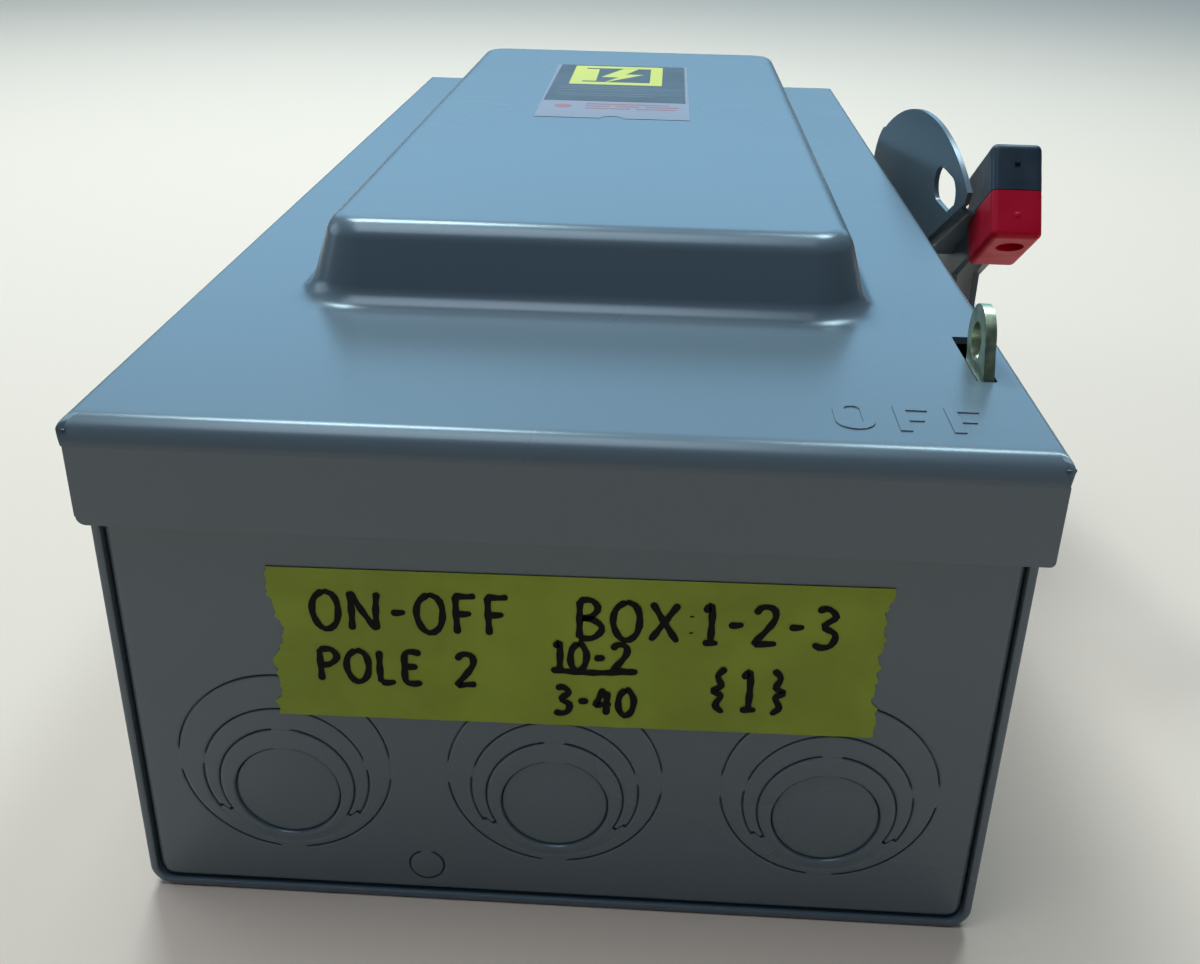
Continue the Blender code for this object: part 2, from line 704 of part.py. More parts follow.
def crossbar_bracket(name, x, foot_x):
    """Upright with the crossbar's bearing."""
    outline = [(12.0, FLOOR + 0.6), (44.0, FLOOR + 0.6)] + arc(PIVOT, 14.0, 0, 180, 30)
    bracket = plate(name, 'X', x, [outline, circle(PIVOT, BORE)], "bright_steel")
    join(bracket, box("bracket_base", foot_x, (12.5, 43.5), (FLOOR, FLOOR + 2.0)))


def moulded_base(name, y, top):
    """Insulating bridge on two side rails."""
    half, rail, slab = 50.0, 9.0, 12.0
    outline = [(-half, FLOOR), (rail - half, FLOOR), (rail - half, top - slab),
               (half - rail, top - slab), (half - rail, FLOOR), (half, FLOOR), (half, top),
               (-half, top)]
    base = plate(name, 'Y', y, [outline], "black_moulding")
    round_edges(base, 0.8, 1)


def jaw(name, x, side, base_top, foot_end):
    """Two spring leaves that the blade enters, on a strap down to the base."""
    def at(near, far):
        return sorted((PIVOT[0] + side * near, PIVOT[0] + side * far))
    low = base_top + GAP
    strap = box(name, around(x, 6.0), at(38.0, 40.0), (low + 0.5, 68.0), "copper")
    for leaf in ((x - 2.5, x - 1.3), (x + 1.3, x + 2.5)):
        join(strap, box("leaf", leaf, at(22.0, 39.0), (51.0, 67.5)))
    join(strap, box("foot", around(x, 5.5), at(38.5, foot_end), (low, low + 2.0)))


def lug(name, x, y, low, high, screw=True):
    """Box lug with a wire way along Y, a threaded hole on top and its clamping screw."""
    middle = sum(y) / 2
    body = box(name, around(x, 7.5), y, (low, high), "aluminium", bevel=0.6)
    cut(body, rod("wire_way", 'Y', (x, low + 6.5), grown(y, 2), 4.4, sides=20),
        rod("thread", 'Z', (x, middle), (low + 7, high + 2), 4.0, sides=16))
    if screw:
        stud = rod(name + "_screw", 'Z', (x, middle), (low + 11.5, high + 2.5), 3.7,
                   "bright_steel", 16)
        cut(stud, box("driver_slot", around(x, 0.6), grown(y, 1), (high + 0.7, high + 4)))


def fuse_clip(name, x, y, strap=None):
    """Spring clip around a fuse ferrule; the load clips stand on the strap to their lug."""
    strap_top = LOAD_TOP + GAP + 2.0
    foot = strap_top - 1.0 if strap else strap_top + GAP
    inner, outer = FUSE_RADIUS + GAP, FUSE_RADIUS + GAP + 1.2
    outline = (arc((x, FUSE_Z), inner, 40, -220, 15) + arc((x, FUSE_Z), outer, 140, 250, 15)
               + [(x - 4.0, foot), (x + 4.0, foot)] + arc((x, FUSE_Z), outer, 290, 400, 15))
    clip = plate(name, 'Y', y, [outline], "copper")
    if strap:
        join(clip, box("strap", around(x, 5.0), strap, (strap_top - 2.0, strap_top)))


def fuse(number, x):
    """Cartridge fuse: fibre tube with a brass ferrule at each end."""
    near, far = FUSE_Y
    tube = rod(f"fuse_{number}", 'Y', (x, FUSE_Z), (near + 2, far - 2), FUSE_RADIUS - 0.5,
               "fuse_fibre", 32)
    for span in ((near, near + 16.0), (far - 16.0, far)):
        join(tube, rod("ferrule", 'Y', (x, FUSE_Z), span, FUSE_RADIUS, sides=32))


def line_shield():
    """Insulating hood over the live line lugs."""
    half, top = 52.2, 58.0
    outline = [(-half, 20.0), (1.2 - half, 20.0), (1.2 - half, top - 1.2), (half - 1.2, top - 1.2),
               (half - 1.2, 20.0), (half, 20.0), (half, top), (-half, top)]
    plate("line_shield", 'Y', (78.0, 112.0), [outline], "clear_shield")


def neutral():
    """Solid neutral on the left: insulator, bar and a lug at each end."""
    box("neutral_insulator", (-84.0, -62.0), (-64.0, 44.0), (FLOOR, 20.0), "black_moulding", 0.8)
    box("neutral_bar", (-78.5, -67.5), (-58.0, 38.0), (20.0 + GAP, 24.0), "copper")
    for number, y in ((1, (-56.0, -40.0)), (2, (20.0, 36.0))):
        lug(f"neutral_lug_{number}", -73.0, y, 24.0 + GAP, 41.0, screw=False)


# ---------------------------------------------------------------- assembly

enclosure_wrapper()
end_wall("bottom_end_wall", -1)
end_wall("top_end_wall", 1)
marking_tape()
shaft_bush()
lock_plate()
latch_keeper()

hinge_axis = joint_axis("cover_hinge_axis", (HINGE_X, 0.0, HINGE_Z))
ride(hinge_axis, cover(), label_plate(), latch_guide(), interlock_catch(), latch_spring(),
     *[hinge(number + 1, y) for number, y in enumerate(HINGE_YS)])

latch_axis = joint_axis("latch_slide_axis", (sum(LATCH_X) / 2, EYE[0], 98.0))
ride(latch_axis, cover_latch())

handle_axis = joint_axis("handle_axis", (GRIP_X[0], *PIVOT))
ride(handle_axis, handle_lever(), grip_half("grip_black", 1, "black_moulding"),
     grip_half("grip_red", -1, "red_moulding"), handle_shaft(), drive_crank(),
     collar("handle_nut", (CHEEK_X[1][1] + GAP, 127.0), 9.0, "bright_steel", 6))

mechanism_plate()
drive_spring()
interlock_axis = joint_axis("interlock_axis", (70.0, *INTERLOCK_PIVOT))
ride(interlock_axis, interlock_lever())

crossbar_axis = joint_axis("crossbar_axis", (0.0, *PIVOT))
ride(crossbar_axis, crossbar(), *[blade(i + 1, x) for i, x in enumerate(POLE_XS)])
crossbar_bracket("crossbar_bracket_left", (-58.0, -55.0), (-61.5, -55.5))
crossbar_bracket("crossbar_bracket_right", (52.0, 55.0), (52.5, 62.0))

moulded_base("line_base", (50.0, 114.0), LINE_TOP)
moulded_base("load_base", (-142.0, 6.0), LOAD_TOP)
for pole, pole_x in enumerate(POLE_XS, start=1):
    jaw(f"line_jaw_{pole}", pole_x, 1, LINE_TOP, 78.0)
    jaw(f"load_jaw_{pole}", pole_x, -1, LOAD_TOP, 78.0)
    lug(f"line_lug_{pole}", pole_x, (88.0, 105.0), LINE_TOP + 2.0 + 2 * GAP, 50.0)
    lug(f"load_lug_{pole}", pole_x, (-135.0, -118.0), LOAD_TOP + 2.0 + 2 * GAP, 45.0)
    fuse_clip(f"line_fuse_clip_{pole}", pole_x, (-44.0, -34.0))
    fuse_clip(f"load_fuse_clip_{pole}", pole_x, (-102.0, -92.0), (-135.0, -92.5))
    fuse(pole, pole_x)
line_shield()
neutral()
lug("ground_lug", 70.0, (-170.0, -154.0), FLOOR, 19.0, screw=False)
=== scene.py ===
"""AC disconnect box lying on its back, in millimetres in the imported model's frame.

+Z points out of the cover, +X to the handle side and -Y to the end with the tape. Each section
makes one piece, or a group of like pieces, in the order in which the box is put together.
"""
import json
from math import atan2, cos, pi, radians, sin, tan

import bmesh
import bpy
import numpy as np
from mathutils import Matrix, Vector
from mathutils.geometry import tessellate_polygon

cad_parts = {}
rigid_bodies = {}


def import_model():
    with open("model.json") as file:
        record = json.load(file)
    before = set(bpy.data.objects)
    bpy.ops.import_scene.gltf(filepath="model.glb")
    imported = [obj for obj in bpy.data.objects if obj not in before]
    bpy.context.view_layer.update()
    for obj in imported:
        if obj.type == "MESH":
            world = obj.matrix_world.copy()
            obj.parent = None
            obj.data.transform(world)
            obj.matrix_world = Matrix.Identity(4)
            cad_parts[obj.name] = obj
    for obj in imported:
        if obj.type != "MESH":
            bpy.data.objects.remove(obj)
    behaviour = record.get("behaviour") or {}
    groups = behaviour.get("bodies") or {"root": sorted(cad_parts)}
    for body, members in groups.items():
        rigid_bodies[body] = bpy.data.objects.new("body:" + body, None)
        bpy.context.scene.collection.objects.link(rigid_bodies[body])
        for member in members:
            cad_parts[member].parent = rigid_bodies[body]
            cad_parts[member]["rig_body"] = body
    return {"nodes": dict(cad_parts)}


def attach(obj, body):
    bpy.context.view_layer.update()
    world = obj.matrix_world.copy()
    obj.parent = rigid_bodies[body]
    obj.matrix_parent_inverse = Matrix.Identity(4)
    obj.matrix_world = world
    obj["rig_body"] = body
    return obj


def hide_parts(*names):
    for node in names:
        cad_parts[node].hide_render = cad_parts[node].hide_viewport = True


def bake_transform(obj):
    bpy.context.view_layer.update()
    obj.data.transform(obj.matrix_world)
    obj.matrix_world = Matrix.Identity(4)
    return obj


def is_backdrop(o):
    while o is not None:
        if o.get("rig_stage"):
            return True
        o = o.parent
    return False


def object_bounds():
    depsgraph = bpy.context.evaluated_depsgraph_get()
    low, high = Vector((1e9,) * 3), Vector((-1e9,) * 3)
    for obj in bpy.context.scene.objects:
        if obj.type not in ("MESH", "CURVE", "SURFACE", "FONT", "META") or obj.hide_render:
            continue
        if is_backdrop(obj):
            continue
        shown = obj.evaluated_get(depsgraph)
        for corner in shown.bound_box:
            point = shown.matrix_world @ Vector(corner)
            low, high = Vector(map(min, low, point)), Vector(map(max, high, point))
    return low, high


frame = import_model()
nodes = frame["nodes"]
scene = bpy.context.scene
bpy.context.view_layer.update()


# ---- Wrapper ----
# The back and the two long sides are one sheet of 1.6 mm steel. It is pierced for the four wall
# screws and the handle's bush, folded up in a press brake and sprayed with semi-gloss enamel.

MM = 0.001
MERGE = 3e-6                    # metres between corners that are made one
SHEET = 1.6
BOX_SIDE, BOX_END, WALL_TOP, FOLD = 89.0, 195.5, 100.0, 5.0
PIVOT = (28.0, 60.0)            # the handle's shaft, as y and z


def coat(name, slot, colour, roughness, metallic=0.0, drift=(9.0, 0.05), wear=(35.0, 0.04),
         bumps=(), gloss=0.5):
    """A finish. Its colour is multiplied by 1 ± drift and its roughness moved by ± wear, both
    along a soft noise given as (scale per metre, amount). Each bump is a noise of (scale per
    metre, height in mm), and the heights add up. Gloss is the specular level."""
    material = bpy.data.materials.new(name)
    material.use_nodes = True
    material["slot"] = slot
    tree = material.node_tree
    link = tree.links.new
    shader = tree.nodes["Principled BSDF"]
    shader.inputs["Metallic"].default_value = metallic
    shader.inputs["Specular IOR Level"].default_value = gloss
    place = tree.nodes.new("ShaderNodeTexCoord").outputs["Object"]

    def noise(scale, detail=3.0):
        node = tree.nodes.new("ShaderNodeTexNoise")
        node.inputs["Scale"].default_value = scale
        node.inputs["Detail"].default_value = detail
        link(place, node.inputs["Vector"])
        return node.outputs["Fac"]

    def stretched(source, low, high):
        node = tree.nodes.new("ShaderNodeMapRange")
        node.interpolation_type = 'SMOOTHSTEP'
        for socket, value in (("From Min", 0.3), ("From Max", 0.7), ("To Min", low),
                              ("To Max", high)):
            node.inputs[socket].default_value = value
        link(source, node.inputs["Value"])
        return node.outputs["Result"]

    # The mix node takes two colours at sockets 6 and 7 and their share at 0.
    tint = tree.nodes.new("ShaderNodeMix")
    tint.data_type = 'RGBA'
    tint.inputs[6].default_value = (*[c * (1 - drift[1]) for c in colour], 1.0)
    tint.inputs[7].default_value = (*[min(c * (1 + drift[1]), 1.0) for c in colour], 1.0)
    link(stretched(noise(drift[0]), 0.0, 1.0), tint.inputs[0])
    link(tint.outputs[2], shader.inputs["Base Color"])
    link(stretched(noise(wear[0]), roughness - wear[1], roughness + wear[1]),
         shader.inputs["Roughness"])
    normal = None
    for scale, height in bumps:
        bump = tree.nodes.new("ShaderNodeBump")
        bump.inputs["Distance"].default_value = height * MM
        link(noise(scale, 2.0), bump.inputs["Height"])
        if normal:
            link(normal, bump.inputs["Normal"])
        normal = bump.outputs["Normal"]
    if normal:
        link(normal, shader.inputs["Normal"])
    return material


def worked_in(item):
    """Modifiers made part of the mesh."""
    evaluated = item.evaluated_get(bpy.context.evaluated_depsgraph_get())
    mesh = bpy.data.meshes.new_from_object(evaluated)
    item.modifiers.clear()
    item.data = mesh


def piece(name, skins, finish, body, stands_for=(), rounding=0.0, sharp=35.0, cutters=()):
    """A piece from skins, each a pair of points in millimetres and faces. Doubles are merged and
    faces turned outwards; then cutters are taken away and edges over 40 degrees are rounded.
    In the shading, edges over sharp degrees stay sharp."""
    mesh = bpy.data.meshes.new(name)
    starts = np.cumsum([0] + [len(points) for points, _ in skins])
    points = np.vstack([points for points, _ in skins]) * MM
    faces = [[corner + start for corner in face]
             for (_, part), start in zip(skins, starts.tolist()) for face in part]
    mesh.from_pydata(points.tolist(), [], faces)
    form = bmesh.new()
    form.from_mesh(mesh)
    bmesh.ops.remove_doubles(form, verts=form.verts, dist=MERGE)
    bmesh.ops.dissolve_degenerate(form, edges=form.edges, dist=1e-6)
    bmesh.ops.recalc_face_normals(form, faces=form.faces)
    form.to_mesh(mesh)
    form.free()
    item = bpy.data.objects.new(name, mesh)
    scene.collection.objects.link(item)
    if finish is None:
        return item
    for cutter in cutters:
        modifier = item.modifiers.new("cut", 'BOOLEAN')
        modifier.object = cutter
    if rounding:
        modifier = item.modifiers.new("round", 'BEVEL')
        modifier.width = rounding * MM
        modifier.segments = 2
        modifier.limit_method = 'ANGLE'
        modifier.angle_limit = radians(40)
    if item.modifiers:
        worked_in(item)
    for cutter in cutters:
        bpy.data.objects.remove(cutter, do_unlink=True)
    item.data.materials.clear()
    item.data.materials.append(finish)
    item.data.shade_smooth()
    item.data.set_sharp_from_angle(angle=radians(sharp))
    modifier = item.modifiers.new("flats", 'WEIGHTED_NORMAL')
    modifier.keep_sharp = True
    worked_in(item)
    if body:
        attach(item, body)
    if stands_for:
        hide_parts(*stands_for)
    return item


def grid(points, ring=False):
    """The skin of a rows by columns array of points; ring joins the last column to the first."""
    rows, columns = points.shape[:2]
    r, c = np.mgrid[0:rows - 1, 0:columns if ring else columns - 1]
    d = (c + 1) % columns
    quads = np.stack([r * columns + c, r * columns + d, (r + 1) * columns + d,
                      (r + 1) * columns + c], axis=-1)
    return points.reshape(-1, 3), quads.reshape(-1, 4).tolist()


def arc(centre, radius, first, last, steps=12):
    """Points c + r(cos a, sin a) while the angle a, in degrees, goes from first to last."""
    a = np.radians(np.linspace(first, last, steps + 1))
    return np.column_stack([centre[0] + radius * np.cos(a), centre[1] + radius * np.sin(a)])


AXES = {'X': (2, 0, 1), 'Y': (0, 2, 1), 'Z': (0, 1, 2)}


def along(axis, u, v, w):
    """Points whose first two measures lie across an axis and whose third runs along it."""
    return np.stack([(u, v, w)[i] for i in AXES[axis]], axis=-1)


def folded_sheet(axis, midline, thickness, span, edge=0.3):
    """Closed skin of a sheet that follows a midline p(s) and runs along an axis. Its faces are
    p ± h·n, with n the unit normal, and h falls from half the thickness to nothing over the last
    edge mm of both directions as a quarter ellipse, h = t/2 · sqrt(1 - (1 - d/edge)²)."""
    midline = np.asarray(midline, float)
    run = np.r_[0.0, np.cumsum(np.hypot(*np.diff(midline, axis=0).T))]
    close = edge * (1 - np.cos(np.linspace(0, pi / 2, 5)))
    s = np.unique(np.r_[close, run[-1] - close, run[(run > edge) & (run < run[-1] - edge)]])
    w = np.r_[span[0] + close, span[1] - close[::-1]]
    u, v = np.interp(s, run, midline[:, 0]), np.interp(s, run, midline[:, 1])
    du, dv = np.gradient(u, s), np.gradient(v, s)
    length = np.hypot(du, dv)

    def swell(x, low, high):
        depth = np.clip(np.minimum(x - low, high - x) / edge, 0.0, 1.0)
        return np.sqrt(1 - (1 - depth) ** 2)

    half = thickness / 2 * np.outer(swell(w, *span), swell(s, 0.0, run[-1]))
    rise_u, rise_v = half * -dv / length, half * du / length
    w = np.repeat(w[:, None], len(s), axis=1)
    faces = [along(axis, u + side * rise_u, v + side * rise_v, w) for side in (1, -1)]
    return grid(np.concatenate([faces[0], faces[1][:, -2::-1]], axis=1))


def turned(axis, centre, profile, sides=48):
    """Skin of a turned piece: each profile point (h, r) goes round the axis as
    centre + h·axis + r(cos a, sin a). The profile starts and ends on the axis."""
    h, r = np.asarray(profile, float).T
    a = np.linspace(0, 2 * pi, sides, endpoint=False)
    return grid(along(axis, centre[0] + np.outer(r, np.cos(a)), centre[1] + np.outer(r, np.sin(a)),
                      np.repeat(h[:, None], sides, axis=1)), ring=True)


def channel(half, low, top, radius):
    """A U: down the left side, round a bend, along the bottom, round a bend and up the right."""
    return np.vstack([[(-half, top)], arc((radius - half, low + radius), radius, 180, 270),
                      arc((half - radius, low + radius), radius, 270, 360), [(half, top)]])


enamel = coat("blue_gray_enamel", "blue_gray_enamel", (0.130, 0.160, 0.180), 0.27,
              drift=(5.0, 0.012), wear=(6.0, 0.012), bumps=((14.0, 0.16), (650.0, 0.003)))

screw_holes = [piece("hole", [turned('Z', (x, y), [(-2, 0), (-2, 3.5), (4, 3.5), (4, 0)])], None,
                     "") for x in (-60, 60) for y in (-170, 170)]
bush_hole = piece("hole", [turned('X', PIVOT, [(85, 0), (85, 8.3), (92, 8.3), (92, 0)])], None, "")
piece("wrapper_sheet", [folded_sheet('Y', channel(BOX_SIDE - SHEET / 2, SHEET / 2, WALL_TOP,
                                                  FOLD - SHEET / 2), SHEET, (-BOX_END, BOX_END))],
      enamel, "enclosure", ["enclosure_wrapper"], cutters=[*screw_holes, bush_hole])


# ---- End walls ----
# Each end is a pressed sheet with turned-in flanges, welded inside the wrapper. Three clusters of
# round knockouts are sheared almost through, and held by short ties; a pilot knockout sits low.

END_FACE, WALL_HALF, WALL_LOW, ROLL, CORNER = 194.9, 87.1, 1.9, 1.8, 3.1
TURN_X, TURN_Z = WALL_HALF - CORNER, WALL_LOW + CORNER      # the low corners' centres
FIELD_X, PILOT_TOP, FIELD_TOP = (-WALL_HALF, -33.4, -23.6, 27.7, WALL_HALF), 16, 60
INSETS = (1.8, 1.3, 0.8, 0.4, 0.15, 0.0)     # lines that follow a field's outline
# Of each ring: radius, height of its centre, and the sheared arcs between the ties in degrees.
CONDUIT_RINGS = ((11.1, 27.4, ((100, 440),)), (14.25, 29.2, ((99, 210), (-30, 82))),
                 (17.4, 31.2, ((18, 162), (172, 210), (-30, 8))),
                 (22.2, 34.6, ((8, 172), (188, 262), (278, 352))))
PILOT_RING = ((3.7, 9.2, ((110, 430),)),)
# How far out the sheet stands inside the first ring, between the rings and outside the last.
RING_LEVELS, PILOT_LEVEL = (-0.45, 0.10, -0.05, 0.05, 0.0), 0.12
# Across a sheared line: steps from its middle, and the share of the full depth at each.
GROOVE = ((-0.3, 0.03), (-0.19, 0.15), (-0.14, 1), (0.14, 1), (0.19, 0.15), (0.3, 0.03))
SHEAR_DEPTH, TIE_DENT, TIE_END = 0.78, 0.03, 0.5
# Radial cuts from the second ring to the third: where, how wide and with which lines, degrees.
TICKS, TICK_HALF, TICK_LINES = (210, -30), 0.8, (-1.3, -0.7, 0.7, 1.3)


def rolled_edge(x, z):
    """How far the wall's face falls back at (x, z): a quarter round R - sqrt(R² - (R - d)²), where
    d is the distance to the wall's outline, whose two low corners are round."""
    across, down = np.abs(x) - TURN_X, TURN_Z - z
    outside = np.hypot(np.maximum(across, 0), np.maximum(down, 0))
    d = CORNER - outside - np.minimum(np.maximum(across, down), 0)
    return ROLL - np.sqrt(ROLL ** 2 - np.clip(ROLL - d, 0, ROLL) ** 2)


def kept_inside(x, z):
    """Points beyond a round corner of the wall brought back onto its arc."""
    across, down = np.abs(x) - TURN_X, TURN_Z - z
    far = np.hypot(across, down)
    pull = np.where((across > 0) & (down > 0) & (far > CORNER), CORNER / np.maximum(far, 1e-9), 1)
    return (np.where(pull < 1, np.sign(x) * (TURN_X + across * pull), x),
            np.where(pull < 1, TURN_Z - down * pull, z))


def knockout_field(x, rings, x_span, z_span):
    """Grid over a rectangle, of angle a and reach: circles round each ring's own centre, then the
    rectangle's outline at a few insets. Returned are x, z, the sheet's level, how deep it is
    sheared (0 to 1), and that the loops close."""
    base = rings[-1][1]
    corners = [atan2(z - base, cx - x) for cx in x_span for z in z_span]
    cuts = np.radians([t + d for t in TICKS for d in TICK_LINES])
    a = np.unique(np.mod(np.r_[np.linspace(0, 2 * pi, 216, endpoint=False), corners, cuts],
                         2 * pi))
    tick = np.max([np.abs(np.mod(np.degrees(a) - t + 180, 360) - 180) < TICK_HALF
                   for t in TICKS], axis=0)
    loops = [(np.full_like(a, x), np.full_like(a, rings[0][1]), 0, 0 * a)]
    for k, (radius, height, arcs) in enumerate(rings):
        shear = np.zeros_like(a)
        for first, last in arcs:
            turn = np.mod(np.degrees(a) - first, 360)
            inside = np.minimum(turn, (last - first) - turn) * radians(radius)
            shear = np.maximum(shear, np.clip(inside / TIE_END + 0.5, 0, 1))
        wide = 0.8 if len(rings) > 1 else 0.35
        for step, depth in ((-wide, 0), *GROOVE, (wide, 0)):
            band = k + (step > 0)
            level = RING_LEVELS[band] if len(rings) > 1 else PILOT_LEVEL * (step < 0)
            deep = np.maximum(depth * (TIE_DENT + (1 - TIE_DENT) * shear), tick * (band == 2))
            loops.append((x + (radius + step) * np.cos(a), height + (radius + step) * np.sin(a),
                          level, deep))
    # At the wall's own outline the lines stay inside its rolled edge; elsewhere they crowd.
    give = [1.0 if abs(edge) == WALL_HALF or edge == WALL_LOW else 0.05
            for edge in (*x_span, *z_span)]
    across, rise = [np.where(np.abs(w) < 1e-9, np.copysign(1e-9, w), w)
                    for w in (np.cos(a), np.sin(a))]
    for inset in INSETS:
        reach = np.minimum(
            np.where(across > 0, x_span[1] - give[1] * inset - x,
                     x_span[0] + give[0] * inset - x) / across,
            np.where(rise > 0, z_span[1] - give[3] * inset - base,
                     z_span[0] + give[2] * inset - base) / rise)
        loops.append((x + reach * np.cos(a), base + reach * np.sin(a), 0.0, 0 * a))
    grids = [np.array([np.broadcast_to(loop[i], a.shape) for loop in loops]) for i in range(4)]
    return (*kept_inside(*grids[:2]), *grids[2:], True)


def plain_field(x_span, z_span):
    """The same for a rectangle with no knockout: lines close together near its outline."""
    near = np.array(INSETS[::-1])
    x, z = np.meshgrid(*[np.unique(np.r_[low + near, high - near]) for low, high
                         in (x_span, z_span)])
    return (*kept_inside(x, z), 0 * x, 0 * x, False)


wall_fields = [
    knockout_field(-56.7, CONDUIT_RINGS, FIELD_X[0:2], (WALL_LOW, FIELD_TOP)),
    knockout_field(-27.9, PILOT_RING, FIELD_X[1:3], (WALL_LOW, PILOT_TOP)),
    plain_field(FIELD_X[1:3], (PILOT_TOP, FIELD_TOP)),
    knockout_field(-0.4, CONDUIT_RINGS, FIELD_X[2:4], (WALL_LOW, FIELD_TOP)),
    knockout_field(55.9, CONDUIT_RINGS, FIELD_X[3:5], (WALL_LOW, FIELD_TOP)),
    plain_field((-WALL_HALF, WALL_HALF), (FIELD_TOP, WALL_TOP))]
for facing, node in ((-1, "bottom_end_wall"), (1, "top_end_wall")):
    skins = []
    for x, z, level, shear, ring in wall_fields:
        outer = END_FACE - rolled_edge(x, z) + level - SHEAR_DEPTH * shear
        inner = END_FACE - SHEET + level + SHEAR_DEPTH * shear
        skins += [grid(np.stack([x, facing * y, z], axis=-1), ring)
                  for y in (outer, np.minimum(inner, outer - 0.01))]
    skins.append(folded_sheet('Y', channel(WALL_HALF - SHEET / 2, WALL_LOW + SHEET / 2, WALL_TOP,
                                           CORNER - SHEET / 2), SHEET,
                              sorted((facing * 180.9, facing * (END_FACE - 1.5)))))
    skins.append(grid(np.array([[(x, facing * y, WALL_TOP) for x in (-WALL_HALF, WALL_HALF)]
                                for y in (END_FACE, END_FACE - SHEET)])))
    piece(node + "_sheet", skins, enamel, "enclosure", [node], sharp=50)


# ---- Tape ----
# A strip of creped paper masking tape torn by hand and stuck across the bottom wall, a little
# out of level. Plain numbers and words are written on it with a felt marker.

TAPE_LOW, TAPE_HIGH, TAPE_Y = 48.3, 82.9, -END_FACE - 0.12
TAPE_MIDDLE, TAPE_SLOPE = 2.7, radians(-0.6)
INK_LIFT, LAYER_LIFT = 0.20, 0.002      # the writing's height, and what each new stroke adds
tape_paper = coat("green_paper_tape", "green_tape", (0.30, 0.37, 0.028), 0.72, drift=(60.0, 0.10),
                  wear=(200.0, 0.06), bumps=((420.0, 0.05), (90.0, 0.10)))
marker_ink = coat("felt_marker_ink", "label_black", (0.010, 0.007, 0.007), 0.85,
                  drift=(200.0, 0.2), wear=(200.0, 0.06), gloss=0.2)


def on_tape(x, z, lift=0.0):
    """Points at a lift off the wall and at height z - (x - middle)·sin(slope)."""
    return np.stack([x, np.full_like(x, TAPE_Y - lift),
                     z - (x - TAPE_MIDDLE) * sin(TAPE_SLOPE)], axis=-1)


def torn(z, seed, reach):
    """The strip's ragged end at height z: five waves reach/k · sin(0.21·k^1.6·z + phase), and
    many small steps."""
    waves = sum(reach / (k + 1) * np.sin(z * 0.21 * (k + 1) ** 1.6 + seed * (k + 2))
                for k in range(5))
    return waves + 0.25 * np.sin(z * 9.1 + seed) * np.sin(z * 5.3)


tape_z = np.linspace(TAPE_LOW, TAPE_HIGH, 70)
share = np.linspace(0, 1, 60)[None, :]
left_end = (-56.6 + torn(tape_z, 1.3, 0.7) + 3.4 * np.exp(-((tape_z - 69) / 5.0) ** 2))[:, None]
right_end = (63.2 + torn(tape_z, 4.1, 0.6) - 1.6 * np.exp(-((tape_z - 60) / 6.0) ** 2))[:, None]
tape_x = left_end + (right_end - left_end) * share
tape_rows = np.repeat(tape_z[:, None], share.size, axis=1)
ripple = 0.05 * np.sin(tape_x * 0.9) * np.sin(tape_rows * 0.23) + 0.04
front, back = on_tape(tape_x, tape_rows, 0.1), on_tape(tape_x, tape_rows, 0.0)
front[..., 1] -= ripple
piece("tape_strip", [grid(front), grid(back)]
      + [grid(np.stack([front[edge], back[edge]])) for edge in
         (np.s_[0, :], np.s_[-1, :], np.s_[:, 0], np.s_[:, -1])],
      tape_paper, "enclosure", ["marking_tape"], sharp=60)

